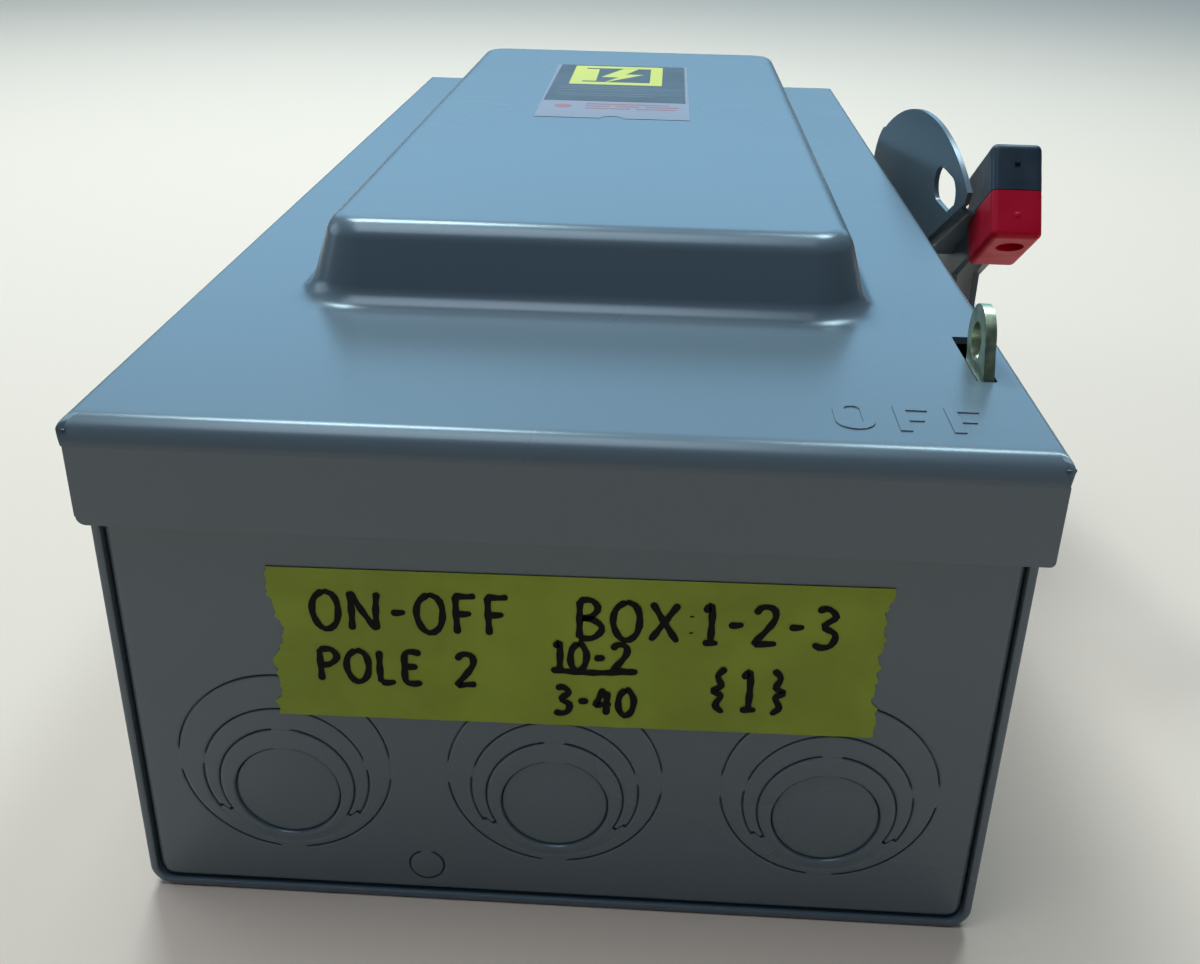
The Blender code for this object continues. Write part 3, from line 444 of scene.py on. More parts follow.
# Each sign's width and its pen strokes as chains of points, in a cell one unit high.
SIGNS = {
    "O": (0.62, [[(.3, 1), (.08, .8), (.02, .45), (.15, .1), (.35, 0), (.55, .2), (.6, .6),
                  (.5, .9), (.28, 1)]]),
    "N": (0.66, [[(.05, 0), (.06, .5), (.04, 1)], [(.04, 1), (.3, .5), (.6, .02)],
                 [(.6, .02), (.6, .5), (.64, 1)]]),
    "F": (0.5, [[(.08, 0), (.06, .5), (.05, 1)], [(.0, .98), (.3, .97), (.5, 1)],
                [(.06, .52), (.25, .52), (.4, .55)]]),
    "B": (0.55, [[(.05, 0), (.05, 1)], [(.02, .98), (.3, 1), (.45, .8), (.3, .58), (.06, .53),
                 (.35, .5), (.55, .28), (.35, .03), (.03, .02)]]),
    "X": (0.6, [[(.02, 1), (.3, .5), (.6, 0)], [(.6, .98), (.3, .5), (0, .02)]]),
    "P": (0.5, [[(.06, 0), (.05, 1)], [(.03, .97), (.35, .98), (.5, .75), (.3, .52), (.06, .5)]]),
    "L": (0.45, [[(.05, 1), (.04, .5), (.05, 0)], [(.05, .02), (.25, 0), (.45, .05)]]),
    "E": (0.5, [[(.48, .95), (.2, 1), (.05, .9), (.03, .5), (.05, .08), (.25, 0), (.48, .05)],
                [(.05, .52), (.38, .54)]]),
    "1": (0.3, [[(.02, .8), (.16, .98), (.18, .5), (.17, 0)], [(.0, .01), (.34, .02)]]),
    "2": (0.5, [[(.02, .8), (.15, .98), (.4, .95), (.45, .7), (.25, .35), (.02, .03), (.25, .04),
                 (.52, .06)]]),
    "3": (0.48, [[(.03, .93), (.25, 1), (.44, .8), (.2, .55), (.46, .35), (.38, .06), (.15, 0),
                  (.0, .1)]]),
    "4": (0.5, [[(.25, 1), (.1, .6), (.02, .38), (.25, .4), (.5, .42)],
                [(.36, .9), (.35, .4), (.34, 0)]]),
    "0": (0.5, [[(.25, 1), (.06, .75), (.03, .3), (.2, 0), (.42, .15), (.5, .6), (.35, .95),
                 (.22, 1)]]),
    "-": (0.4, [[(.05, .5), (.2, .49), (.38, .52)]]),
    "_": (1.9, [[(.0, .5), (.9, .46), (1.9, .53)]]),
    ":": (0.15, [[(.07, .7), (.08, .66)], [(.07, .28), (.08, .24)]]),
    "{": (0.3, [[(.28, 1.05), (.12, .85), (.2, .6), (.02, .48), (.2, .35), (.1, .1), (.27, -.08)]]),
    "}": (0.3, [[(.02, 1.05), (.18, .85), (.1, .6), (.28, .48), (.1, .35), (.2, .1), (.03, -.08)]]),
    " ": (0.45, [])}


def marker_line(chain, layer, width=1.35):
    """A flat stroke, lifted by its layer so that no two share a plane. Its chain of points is
    smoothed to p(t) by cubics, and its edges are p ± w/2·n·sqrt(1 - (1 - d/(w/2))²), with d the
    distance to the nearer end and w a little uneven."""
    chain = np.asarray(chain, float)
    if len(chain) > 2:
        t = np.arange(len(chain))
        fine = np.linspace(0, len(chain) - 1, 9 * len(chain))
        before, after = np.vstack([chain[:1], chain[:-1]]), np.vstack([chain[1:], chain[-1:]])
        slope = (after - before) / 2
        k = np.minimum(fine.astype(int), len(chain) - 2)
        f = (fine - t[k])[:, None]
        chain = ((2 * f ** 3 - 3 * f ** 2 + 1) * chain[k] + (f ** 3 - 2 * f ** 2 + f) * slope[k]
                 + (3 * f ** 2 - 2 * f ** 3) * chain[k + 1] + (f ** 3 - f ** 2) * slope[k + 1])
    run = np.r_[0, np.cumsum(np.maximum(np.hypot(*np.diff(chain, axis=0).T), 1e-6))]
    half = width / 2
    close = half * (1 - np.cos(np.linspace(0.15, pi / 2, 5)))
    s = np.unique(np.r_[close, run[-1] - close, np.linspace(0, run[-1], 24)[1:-1]])
    s = s[(s > 0) & (s < run[-1])] if run[-1] > width else np.linspace(0.05, 0.95, 9) * run[-1]
    px, pz = np.interp(s, run, chain[:, 0]), np.interp(s, run, chain[:, 1])
    gx, gz = np.gradient(px, s), np.gradient(pz, s)
    g = np.hypot(gx, gz) + 1e-9
    d = np.clip(np.minimum(s, run[-1] - s) / half, 0, 1)
    wide = half * np.sqrt(1 - (1 - d) ** 2) * (1 + 0.12 * np.sin(s * 1.7))
    return grid(on_tape(*[np.stack([p - n * wide, p + n * wide]) for p, n in
                          ((px, -gz / g), (pz, gx / g))], INK_LIFT + LAYER_LIFT * layer))


# Each line: its signs, left end, foot, height and spread.
writing = (("ON-OFF  BOX:1-2-3", -48.0, 69.2, 8.8, 1.08), ("POLE 2", -47.5, 57.0, 7.6, 1.1),
           ("10-2", -0.6, 61.6, 6.6, 1.0), ("_", -1.2, 57.2, 9.0, 1.2),
           ("3-40", -0.4, 51.3, 6.4, 1.05), ("{1}", 30.5, 53.8, 9.4, 1.5))
strokes = []
for words, left, low, high, spread in writing:
    for sign in words:
        width, chains = SIGNS[sign]
        for chain in chains:
            strokes.append(marker_line([(left + u * high, low + v * high) for u, v in chain],
                                       len(strokes)))
        left += (width * spread + 0.17) * high
piece("marker_writing", strokes, marker_ink, "enclosure")


# ---- Cover ----
# The lid is drawn from one sheet: a raised panel in the middle, a flat rim, and round bends down
# to four flanges that overlap the box, a little apart at the corners. ON and OFF are embossed.

COVER_SIDE, COVER_END, COVER_LIP, COVER_TOP = 91.35, 197.75, 91.0, 112.3
PANEL_TOP, PANEL_FALL, FILLET, SIDE_FOLD = 129.8, 6.5, 6.0, 1.8


def rounded_loop(half, near, far, radius, z):
    """A rectangle with round corners, anticlockwise: 9 points to a corner, with 12 and 24 steps
    along its short and long sides."""
    places = ((half, near, -90), (half, far, 0), (-half, far, 90), (-half, near, 180))
    turns = [arc((x - radius * np.sign(x), y - radius * (1 if y > 0 else -1)), radius, a, a + 90,
                 9) for x, y, a in places]
    loop = []
    for turn, following, steps in zip(turns, turns[1:] + turns[:1], (24, 12, 24, 12)):
        loop += [turn, np.linspace(turn[-1], following[0], steps + 1)[1:-1]]
    loop = np.vstack(loop)
    return np.column_stack([loop, np.full(len(loop), z)])


def filled(loops):
    """Flat faces between an outer loop and the loops inside it."""
    flat = [[Vector(point) for point in loop] for loop in loops]
    return np.vstack(loops), [list(triangle) for triangle in tessellate_polygon(flat)]


def panel_loop(q, z):
    """The panel's outline where its wall is a share q of the way from the ridge to the base."""
    return rounded_loop(60.5 + 5 * q, -120.5 - 7.5 * q, 167 + 7 * q, 9 + 5 * q, z)


slope = atan2(PANEL_TOP - COVER_TOP, PANEL_FALL)
run_out = FILLET * tan(slope / 2)
base_turn = np.linspace(0, slope, 10)
base_fillet = [(PANEL_FALL + run_out - FILLET * sin(a), COVER_TOP + FILLET * (1 - cos(a)))
               for a in base_turn]
ridge_fillet = [(FILLET * sin(a) - run_out, PANEL_TOP - FILLET * (1 - cos(a)))
                for a in base_turn[::-1]]
collar = 1.0
base_fillet.insert(0, (base_fillet[0][0] + collar, COVER_TOP))
ridge_fillet.append((ridge_fillet[-1][0] - collar, PANEL_TOP))
panel_rings = [panel_loop(d / PANEL_FALL, z) for d, z in base_fillet + ridge_fillet]


def bend_ring(a):
    """The cover's outline where its bends have turned by a: it is set in by r(1 - sin a) and has
    dropped by r(1 - cos a), where r goes from the end bends' to the side bends' at the corners."""
    inset, drop = 1 - sin(a), 1 - cos(a)
    half, end, radius = COVER_SIDE - SIDE_FOLD * inset, COVER_END - FOLD * inset, 0.5 + inset
    ring = rounded_loop(half, -end, end, radius, COVER_TOP)
    out = np.maximum(np.abs(ring[:, :2]) - (half - radius, end - radius), 0)
    share = out[:, 0] / np.hypot(*out.T)
    ring[:, 2] -= drop * (FOLD + (SIDE_FOLD - FOLD) * share)
    return ring


bend_rings = [bend_ring(a) for a in np.linspace(pi / 2, 0, 10)]
bend_rings.append(rounded_loop(COVER_SIDE - SIDE_FOLD - 1, FOLD + 1 - COVER_END,
                               COVER_END - FOLD - 1, 1.5, COVER_TOP))
latch_slot = np.vstack([arc((x, y), 0.5, a, a + 90, 4) for x, y, a in (
    (85.2, -160.5, -90), (85.2, -135.0, 0), (82.0, -135.0, 90), (82.0, -160.5, 180))])
latch_slot = np.column_stack([latch_slot, np.full(len(latch_slot), COVER_TOP)])


def inner_of(rings, thickness):
    """The inside of a shell of loops: each point moved back along the loops' normal, which is
    the cross product of the directions along and across them."""
    rings = np.array(rings)
    round_ = np.roll(rings, -1, axis=1) - np.roll(rings, 1, axis=1)
    up = np.gradient(rings, axis=0)
    normal = np.cross(round_, up)
    normal /= np.linalg.norm(normal, axis=-1, keepdims=True)
    return rings - normal * thickness


under = [(0, 0, -SHEET)]
outer_bend, inner_bend = np.array(bend_rings), inner_of(bend_rings, SHEET)
inner_bend[-1] = outer_bend[-1] + (0, 0, -SHEET)
outer_panel, inner_panel = np.array(panel_rings), inner_of(panel_rings, SHEET)
inner_panel[0], inner_panel[-1] = outer_panel[0] + under[0], outer_panel[-1] + under[0]
cover_skins = [grid(outer_bend, ring=True), grid(inner_bend, ring=True),
               grid(outer_panel, ring=True), grid(inner_panel, ring=True),
               filled([outer_bend[-1], outer_panel[0], latch_slot]),
               filled([inner_bend[-1], inner_panel[0], latch_slot + under]),
               filled([outer_panel[-1]]), filled([inner_panel[-1]]),
               grid(np.stack([latch_slot, latch_slot + under]), ring=True),
               grid(np.stack([outer_bend[0], inner_bend[0]]), ring=True)]
piece("cover_shell", cover_skins, enamel, "lift_cover", ["cover"])


def blank(axis, loops, span):
    """Closed skin of a flat blank: an outline and its holes, from span[0] to span[1] along an
    axis. Both faces are filled, and each loop gets a wall."""
    skins = []
    for w in span:
        points, faces = filled([np.column_stack([loop, np.zeros(len(loop))]) for loop in loops])
        skins.append((along(axis, points[:, 0], points[:, 1], np.full(len(points), w)), faces))
    for loop in loops:
        u, v = np.asarray(loop, float).T
        skins.append(grid(np.stack([along(axis, u, v, np.full(len(u), w)) for w in span]),
                          ring=True))
    return skins


left, right, high = 0.9 - COVER_SIDE, COVER_SIDE - 0.3, COVER_TOP - FOLD
end_flange = np.vstack([[(left, high)], arc((left + 1.8, COVER_LIP + 1.8), 1.8, 180, 270, 5),
                        arc((right - 1.0, COVER_LIP + 1.0), 1.0, 270, 360, 5), [(right, high)]])
end, low, high = COVER_END - 1.2, COVER_LIP + 1.0, COVER_TOP - SIDE_FOLD
side_flange = [(-end, high), (-end, low), (end, low), (end, high)]
for facing, names in ((-1, ("near", "left")), (1, ("far", "right"))):
    for name, axis, outline, face in ((names[0], 'Y', end_flange, COVER_END),
                                      (names[1], 'X', side_flange, COVER_SIDE)):
        piece(f"cover_flange_{name}",
              blank(axis, [outline], sorted((facing * face, facing * (face - SHEET)))), enamel,
              "lift_cover", rounding=0.25)

LETTER_HIGH, STEM, O_HALF = 11.7, 2.3, 3.75


def letter_ring(inset):
    """An outline of the letter O, set in by an inset: two half circles joined by its sides."""
    return np.vstack([arc((O_HALF, 9.2), O_HALF - inset, 0, 180),
                      arc((O_HALF, O_HALF), O_HALF - inset, 180, 360)])


LETTERS = {
    "O": [letter_ring(0), letter_ring(STEM)[::-1]],
    "F": [[(0, 0), (STEM, 0), (STEM, 4.7), (5.2, 4.7), (5.2, 6.8), (STEM, 6.8), (STEM, 9.6),
           (6.4, 9.6), (6.4, LETTER_HIGH), (0, LETTER_HIGH)]],
    "N": [[(0, 0), (STEM, 0), (STEM, 7.6), (5.0, 0), (7.4, 0), (7.4, LETTER_HIGH),
           (5.1, LETTER_HIGH), (5.1, 4.1), (2.4, LETTER_HIGH), (0, LETTER_HIGH)]]}
for word, places, low in (("OFF", (50.6, 62.2, 72.0), -187.2), ("ON", (50.6, 62.2), 175.0)):
    skins = []
    for letter, left in zip(word, places):
        skins += blank('Z', [np.asarray(loop) + (left, low) for loop in LETTERS[letter]],
                       (COVER_TOP - 0.5, COVER_TOP + 0.26))
    piece(f"embossed_{word.lower()}", skins, enamel, "lift_cover", rounding=0.2)


# ---- Label ----
# A printed film is stuck on the panel. It has a dark field with a plain yellow bolt sign, and a
# silver strip at its near end with bars in place of print and a notch in its near edge.

label_film = coat("dark_label_film", "label_black", (0.035, 0.03, 0.032), 0.42,
                  drift=(30.0, 0.08), bumps=((300.0, 0.004),))
label_silver = coat("silver_label_film", "aluminium", (0.27, 0.22, 0.24), 0.38,
                    drift=(25.0, 0.06), bumps=((300.0, 0.004),))
yellow_ink = coat("yellow_label_ink", "label_black", (0.72, 0.62, 0.04), 0.45)
red_ink = coat("red_label_ink", "red_moulding", (0.42, 0.10, 0.10), 0.45)


def corners(x, y):
    """A rectangle between the (low, high) pairs x and y."""
    return [(x[0], y[0]), (x[1], y[0]), (x[1], y[1]), (x[0], y[1])]


def printed(name, shapes, height, ink):
    """A piece of flat shapes, each made of loops, that stand so high above the panel."""
    skins = [skin for loops in shapes
             for skin in blank('Z', loops, (PANEL_TOP, PANEL_TOP + height))]
    piece(name, skins, ink, "lift_cover")


notch = arc((-0.4, 12.0), 3.6, 180, 0, 12)
film = [(-25.4, 12.0), *notch.tolist(), (24.6, 12.0), (24.4, 123.0), (-26.4, 123.0)]
piece("label_border", blank('Z', [film], (PANEL_TOP - 0.2, PANEL_TOP + 0.12)), label_silver,
      "lift_cover", ["label_plate"])
printed("label_field", [[corners((-25.0, 23.4), (42.0, 122.2))]], 0.17, label_film)
bolt = [(-6.5, 80.5), (-1.5, 93.0), (-8.0, 93.0), (0.0, 115.0), (6.0, 115.0), (1.0, 100.5),
        (8.0, 100.5)]
frame_loops = [corners((-19, 15), (76, 119.5)), corners((-14.5, 10.5), (81.5, 114.5))[::-1]]
printed("label_bolt_sign", [[bolt], frame_loops, [corners((-14.5, -9.5), (84, 112))]], 0.21,
        yellow_ink)
bars = [[corners((left, right), (low, low + 1.3))]
        for left, right, low in ((-10, -2, 32), (0, 8, 32), (10, 21, 32), (-10, 5, 28),
                                 (7, 20, 28), (-10, 18, 36))]
printed("label_red_print", bars + [[arc((-17.5, 32.0), 3.0, 0, 345, 23)]], 0.16, red_ink)
gray_ink = coat("gray_label_ink", "label_black", (0.12, 0.11, 0.11), 0.45)
bars = [[corners((-22, right), (low, low + 1.6))]
        for right, low in ((14, 70.0), (20, 66.0), (9, 62.0), (18, 56.0), (12, 52.0))]
printed("label_gray_print", bars, 0.20, gray_ink)


# ---- Hinges ----
# Two butt hinges join the cover to the left wall: pressed leaves curled round a headed pin. The
# leaves are enamelled with the box, and their shapes are the model's with the edges eased.

zinc_steel = coat("bright_zinc_plate", "bright_steel", (0.56, 0.56, 0.57), 0.33, 1.0,
                  drift=(60.0, 0.08), wear=(90.0, 0.07), bumps=((500.0, 0.004),))


def eased(node, finish, width=0.25, cutters=()):
    """The node's own shape with its flat faces made whole and its edges rounded."""
    form = bmesh.new()
    form.from_mesh(nodes[node].data)
    bmesh.ops.remove_doubles(form, verts=form.verts, dist=MERGE)
    bmesh.ops.dissolve_limit(form, angle_limit=radians(1.5), verts=form.verts, edges=form.edges)
    points = np.array([vertex.co[:] for vertex in form.verts]) / MM
    faces = [[vertex.index for vertex in face.verts] for face in form.faces]
    form.free()
    return piece(node + "_eased", [(points, faces)], finish, nodes[node]["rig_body"], [node],
                 rounding=width, cutters=cutters)


for number in (1, 2):
    eased(f"hinge_body_leaf_{number}", enamel)
    eased(f"hinge_cover_leaf_{number}", enamel)
    eased(f"hinge_pin_{number}", zinc_steel, 0.3)


# ---- Cover latch ----
# A blanked steel slide with a padlock eye, yellow zinc plated, works in an angle bracket under
# the cover. A coil spring pushes its nose under the headed keeper pin on the wall.

EYE, EYE_RADIUS, EYE_HOLE, LATCH_X = (-149.8, 117.0), 7.7, 4.0, (83.0, 85.2)
yellow_zinc = coat("yellow_zinc_plate", "yellow_zinc", (0.40, 0.42, 0.27), 0.42, 1.0,
                   drift=(260.0, 0.28), wear=(300.0, 0.12), bumps=((900.0, 0.03), (220.0, 0.03)))
stem = (EYE[0] - 10.4, EYE[0] + 6.0)
latch_outline = np.vstack([arc(EYE, EYE_RADIUS, -38, 172, 36),
                           [(stem[0], 112.0), (stem[0], 100.2), (stem[0] - 2.9, 99.2),
                            (stem[0] - 2.9, 95.5), (stem[1], 95.5)]])
guide_slot = np.vstack([arc((-147.2, 103.0), 1.8, -90, 90, 10),
                        arc((-155.2, 103.0), 1.8, 90, 270, 10)])
piece("latch_slide", blank('X', [latch_outline, arc(EYE, EYE_HOLE, 0, 352, 44), guide_slot],
                           LATCH_X), yellow_zinc, "latch", ["cover_latch"], rounding=0.4)
eased("latch_guide", zinc_steel)
eased("latch_keeper", zinc_steel, 0.3)


def wire_skin(path, radius, sides=10):
    """Round wire round a path p(t): p + r(cos a·n + sin a·b), where n and b are square to the
    path's direction, and the two ends close to a point."""
    step = np.gradient(path, axis=0)
    step /= np.linalg.norm(step, axis=1, keepdims=True)
    side = np.cross(step, (1.0, 0.15, 0.1))
    side /= np.linalg.norm(side, axis=1, keepdims=True)
    other = np.cross(step, side)
    a = np.linspace(0, 2 * pi, sides, endpoint=False)[:, None, None]
    girth = np.r_[0.0, np.full(len(path) - 2, radius), 0.0][:, None]
    return grid(np.swapaxes(path + girth * (np.cos(a) * side + np.sin(a) * other), 0, 1),
                ring=True)


def helix(start, end, radius, turns):
    """Points start + t·(end - start) + r(cos 2πnt·i + sin 2πnt·j), for n turns."""
    start, end = np.array(start), np.array(end)
    line = (end - start) / np.linalg.norm(end - start)
    i = np.cross(line, (1.0, 0, 0))
    i /= np.linalg.norm(i)
    t = np.linspace(0, 1, int(turns * 24))[:, None]
    return start + t * (end - start) + radius * (np.cos(2 * pi * turns * t) * i
                                                 + np.sin(2 * pi * turns * t) * np.cross(line, i))


spring_line = helix((84.6, -132.0, 98.0), (84.6, -143.4, 98.0), 1.0, 9)
latch_coil = piece("latch_coil", [wire_skin(spring_line, 0.3)], zinc_steel, "",
                   ["latch_spring"])
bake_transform(latch_coil)


# ---- Lock plate ----
# A quadrant of sheet steel stands off the right wall on a shelf, round the handle's shaft. A
# padlock through its slot holds the handle, and its folded stop flange ends the handle's travel.

LOCK_FAR, SPLAY = (94.5, 78.8), radians(8)
# The plate's own directions: u towards the near end, v up, w into the box.
LOCK_TURN = np.array([(sin(SPLAY), 0, -cos(SPLAY)), (-cos(SPLAY), 0, -sin(SPLAY)), (0, 1, 0)])


def on_lock_plate(skins):
    """Skins laid out in the plate's own directions, put where the plate stands."""
    return [(points @ LOCK_TURN.T + (*LOCK_FAR, 0), faces) for points, faces in skins]


bend_near, bend_far = np.array((96.8, 113.2)), np.array((61.0, 89.3))
lock_outline = np.vstack([arc((52.5, 56.5), 75.5, 53, 124, 26),
                          arc((20.9, 103.1), 20, 127, 180, 12),
                          [(0.0, 41.0), (72.0, 41.0), (72.0, 70.0), bend_far, bend_near]])
lock_slot = np.vstack([arc((73.8, 113.6), 5.6, 90, 270, 16),
                       arc((82.6, 112.6), 5.6, -90, 90, 16)])
shaft_hole = arc(((LOCK_FAR[1] - PIVOT[0]) / cos(SPLAY), PIVOT[1]), 8.5, 0, 350, 35)
skins = on_lock_plate(blank('Z', [lock_outline, lock_slot, shaft_hole], (-SHEET, 0.0)))

fold_long = np.linalg.norm(bend_near - bend_far)
fold_run = (bend_near - bend_far) / fold_long
fold_line = np.vstack([[(3.0, -SHEET / 2)], arc((0.6, -SHEET / 2 - 2.2), 2.2, 90, 172, 8),
                       [(-1.9, -13.0)]])
flange_points, flange_faces = folded_sheet('X', fold_line, SHEET, (0.6, fold_long - 3.0))
square = np.array([-fold_run[1], fold_run[0]])
flat = flange_points[:, :1] * fold_run + flange_points[:, 1:2] * square + bend_far
flange_points = np.column_stack([flat, flange_points[:, 2]])
piece("lock_quadrant", skins, enamel, "enclosure", ["lock_plate"], rounding=0.3)
piece("lock_stop_flange", on_lock_plate([(flange_points, flange_faces)]), enamel, "enclosure")

wall = BOX_SIDE + 0.2
near_x = LOCK_FAR[0] + (LOCK_FAR[1] - 10.0) * tan(SPLAY)
shelf = [(wall + 0.9, 10.6), (near_x + 0.5, 10.6), (LOCK_FAR[0] + 0.5, 78.0), (wall + 0.9, 78.0)]
piece("lock_shelf", blank('Z', [shelf], (42.0, 44.0)), enamel, "enclosure", rounding=0.3)
piece("lock_foot", [folded_sheet('Y', [(wall + 0.9, 24.0), (wall + 0.9, 43.6)], SHEET,
                                 (10.0, 78.6))], enamel, "enclosure")
rivet = [(wall + 1.0, 0.0), (wall + 1.2, 3.6), (wall + 2.0, 3.3), (wall + 2.7, 2.2),
         (wall + 3.0, 0.9), (wall + 3.0, 0.0)]
for number, y in enumerate((18.0, 70.0), 1):
    piece(f"lock_foot_rivet_{number}", [turned('X', (y, 32.0), rivet, 24)], enamel, "enclosure")


# ---- Handle ----
# A lever folded from sheet into two cheeks and a web turns the shaft through a brass bush. Its
# grip is two mouldings, black above and red below, pressed over the lever's tongue.

GRIP_END, GRIP_LONG, GRIP_HIGH, GRIP_X = (-30.9, 121.1), 29.0, 14.2, (112.0, 126.5)
ARM_RISE = radians(33)
CHEEKS, ARM_HALF, ARM_BACK = ((114.0, 116.0), (121.0, 123.0)), 9.0, 29.6
black_grip = coat("black_moulding", "black_moulding", (0.022, 0.036, 0.052), 0.42,
                  drift=(80.0, 0.15), wear=(120.0, 0.06), bumps=((420.0, 0.02),))
red_grip = coat("red_moulding", "red_moulding", (0.60, 0.001, 0.024), 0.46,
                drift=(80.0, 0.08), wear=(120.0, 0.05), bumps=((420.0, 0.012),), gloss=0.22)
# The lever wears the box's blue-gray enamel; its colour here is painted darker than the box's, as
# painted shade for the shadow it lies in.
lever_painted_shade_enamel = coat("lever_painted_shade_enamel", "blue_gray_enamel", (0.050, 0.080, 0.105), 0.34,
                    drift=(20.0, 0.06), bumps=((650.0, 0.004),))
brass = coat("turned_brass", "brass", (0.70, 0.55, 0.27), 0.28, 1.0, drift=(60.0, 0.06))


def on_arm(distance, height):
    """The y and z of a point so far behind the grip's end face and so high on the sloping arm."""
    return (GRIP_END[0] + distance * cos(ARM_RISE) + height * sin(ARM_RISE),
            GRIP_END[1] - distance * sin(ARM_RISE) + height * cos(ARM_RISE))


cheek = np.array([on_arm(ARM_BACK, -ARM_HALF), on_arm(57.0, -ARM_HALF),
                  *arc(PIVOT, 16.0, 180, 345, 40).tolist(), on_arm(80.0, ARM_HALF - 2.4),
                  on_arm(ARM_BACK, ARM_HALF - 2.4)])
lever_skins = []
for span in CHEEKS:
    lever_skins += blank('X', [cheek, arc(PIVOT, 6.3, 0, 350, 35)], span)
tongue = [on_arm(4, -1.5), on_arm(50, -1.5), on_arm(50, 1.5), on_arm(4, 1.5)]
lever_skins += blank('X', [tongue], (CHEEKS[0][0] + 0.5, CHEEKS[1][1] - 0.5))
piece("lever_cheeks", lever_skins, lever_painted_shade_enamel, "handle", ["handle_lever"], rounding=0.3)
web = np.vstack([[(115.0, ARM_HALF - 3.0)], arc((117.0, ARM_HALF - 3.0), 2.0, 180, 90, 8),
                 arc((120.0, ARM_HALF - 3.0), 2.0, 90, 0, 8), [(122.0, ARM_HALF - 3.0)]])
web_points, web_faces = folded_sheet('Z', web, 2.0, (ARM_BACK, 80.0), 0.25)
web_y, web_z = on_arm(web_points[:, 2], web_points[:, 1])
piece("lever_web", [(np.column_stack([web_points[:, 0], web_y, web_z]), web_faces)], lever_painted_shade_enamel,
      "handle")


def grip_half(side):
    """Half of the grip as rings along the arm. Each is the half's section, a rectangle with two
    round corners, shrunk by e = r - sqrt(r² - (r - d)²) at a distance d from either end. On the
    end face they close in on its middle, where the gate left a pit above and a pip below."""
    middle, wide, r = sum(GRIP_X) / 2, (GRIP_X[1] - GRIP_X[0]) / 2, 1.9

    def ring(distance, shrink):
        half, low, high = wide - shrink, side * 0.12, side * (GRIP_HIGH - shrink)
        round_ = max(r - shrink, 0.4)
        start, finish = (90, 0) if side > 0 else (-90, 0)
        right = arc((middle + half - round_, high - side * round_), round_, finish, start, 8)
        left = right[::-1] * (-1, 1) + (2 * middle, 0)
        line = np.vstack([[(middle + half, low)], right, left, [(middle - half, low)]])
        y, z = on_arm(np.full(len(line), distance), line[:, 1])
        return np.column_stack([line[:, 0], y, z])

    depth = r * (1 - np.cos(np.linspace(0, pi / 2, 7)))
    shrink = r - np.sqrt(np.maximum(r ** 2 - (r - depth) ** 2, 0))
    body = [ring(d, e) for d, e in zip(depth, shrink)]
    body += [ring(GRIP_LONG - d, e) for d, e in zip(depth[::-1], shrink[::-1])]
    y, z = on_arm(0.0, side * (GRIP_HIGH * 0.5 + 0.4))
    centre = np.array([middle, y, z])
    inward = np.array([0.0, *np.subtract(on_arm(1.0, 0.0), on_arm(0.0, 0.0))])
    dish = ((1.6, 0.0), (1.15, 0.05), (0.95, 0.35), (0.55, 0.9), (0.0, 1.0)) if side > 0 else (
        (1.5, 0.0), (1.1, -0.05), (0.85, -0.22), (0.5, -0.38), (0.0, -0.42))
    count = len(body[0])
    a = np.arctan2(*np.array([(p[2] - z, p[0] - middle) for p in body[0]]).T)
    up = np.array([0.0, *np.subtract(on_arm(0.0, 1.0), on_arm(0.0, 0.0))])
    spot = [centre + radius * (np.outer(np.cos(a), (1, 0, 0)) + np.outer(np.sin(a), up))
            + inward * sunk for radius, sunk in dish]
    far = np.repeat(body[-1].mean(axis=0)[None], count, axis=0)
    return grid(np.array([*spot[::-1], *body, far]), ring=True)


arm_turn = np.array(Matrix.Rotation(-ARM_RISE, 3, 'X'))
pit = turned('Z', (0, 0), [(-9, 0), (-9, 4.7), (-0.5, 4.15), (0.6, 3.9), (6.0, 3.8), (6.0, 0)], 40)
y, z = on_arm(9.5, -GRIP_HIGH)
pit = (pit[0] @ arm_turn.T + (119.6, y, z), pit[1])
piece("grip_upper", [grip_half(1)], black_grip, "handle", ["grip_black"])
piece("grip_lower", [grip_half(-1)], red_grip, "handle", ["grip_red"],
      cutters=[piece("pit", [pit], None, "")])

eased("handle_shaft", zinc_steel, 0.3)
bush = [(86.0, 6.2), (86.0, 7.8), (86.2, 8.0), (89.2, 8.0), (89.2, 11.0), (90.9, 11.0),
        (91.0, 10.8), (91.0, 6.4), (90.8, 6.2), (86.0, 6.2)]
piece("bush_ring", [turned('X', PIVOT, bush)], brass, "enclosure", ["shaft_bush"])
eased("handle_nut", zinc_steel, 0.5)


# ---- Mechanism ----
# Inside, a zinc plated bracket carries the shaft's crank, an over-centre coil spring that snaps
# the blades over, and a hook that follows the handle beside the cover's catch.

for node in ("mechanism_plate", "drive_crank", "interlock_catch", "crossbar_bracket_left",
             "crossbar_bracket_right"):
    eased(node, zinc_steel)
eased("interlock_lever", yellow_zinc)
crank_pin = (PIVOT[0] + 18 * cos(radians(314)), PIVOT[1] + 18 * sin(radians(314)))
anchor = (28.0, 12.0)
stretch = np.subtract(anchor, crank_pin)
pull = stretch / np.hypot(*stretch)


def hook(centre, side):
    """The spring's end loop: a three quarter turn round a pin, then the wire to the coil."""
    facing = np.degrees(np.arctan2(*(side * pull)[::-1]))
    loop = arc(centre, 2.7, facing - 200, facing - 30, 14)
    return np.column_stack([np.full(len(loop), 76.5), loop])


coil_line = helix((76.5, *(np.array(crank_pin) + 7.0 * pull)),
                  (76.5, *(np.array(anchor) - 6.0 * pull)), 2.9, 9)
drive_coil = piece("drive_coil", [wire_skin(np.vstack([hook(crank_pin, 1), coil_line,
                                                       hook(anchor, -1)[::-1]]), 0.5)],
                   zinc_steel, "", ["drive_spring"])
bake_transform(drive_coil)


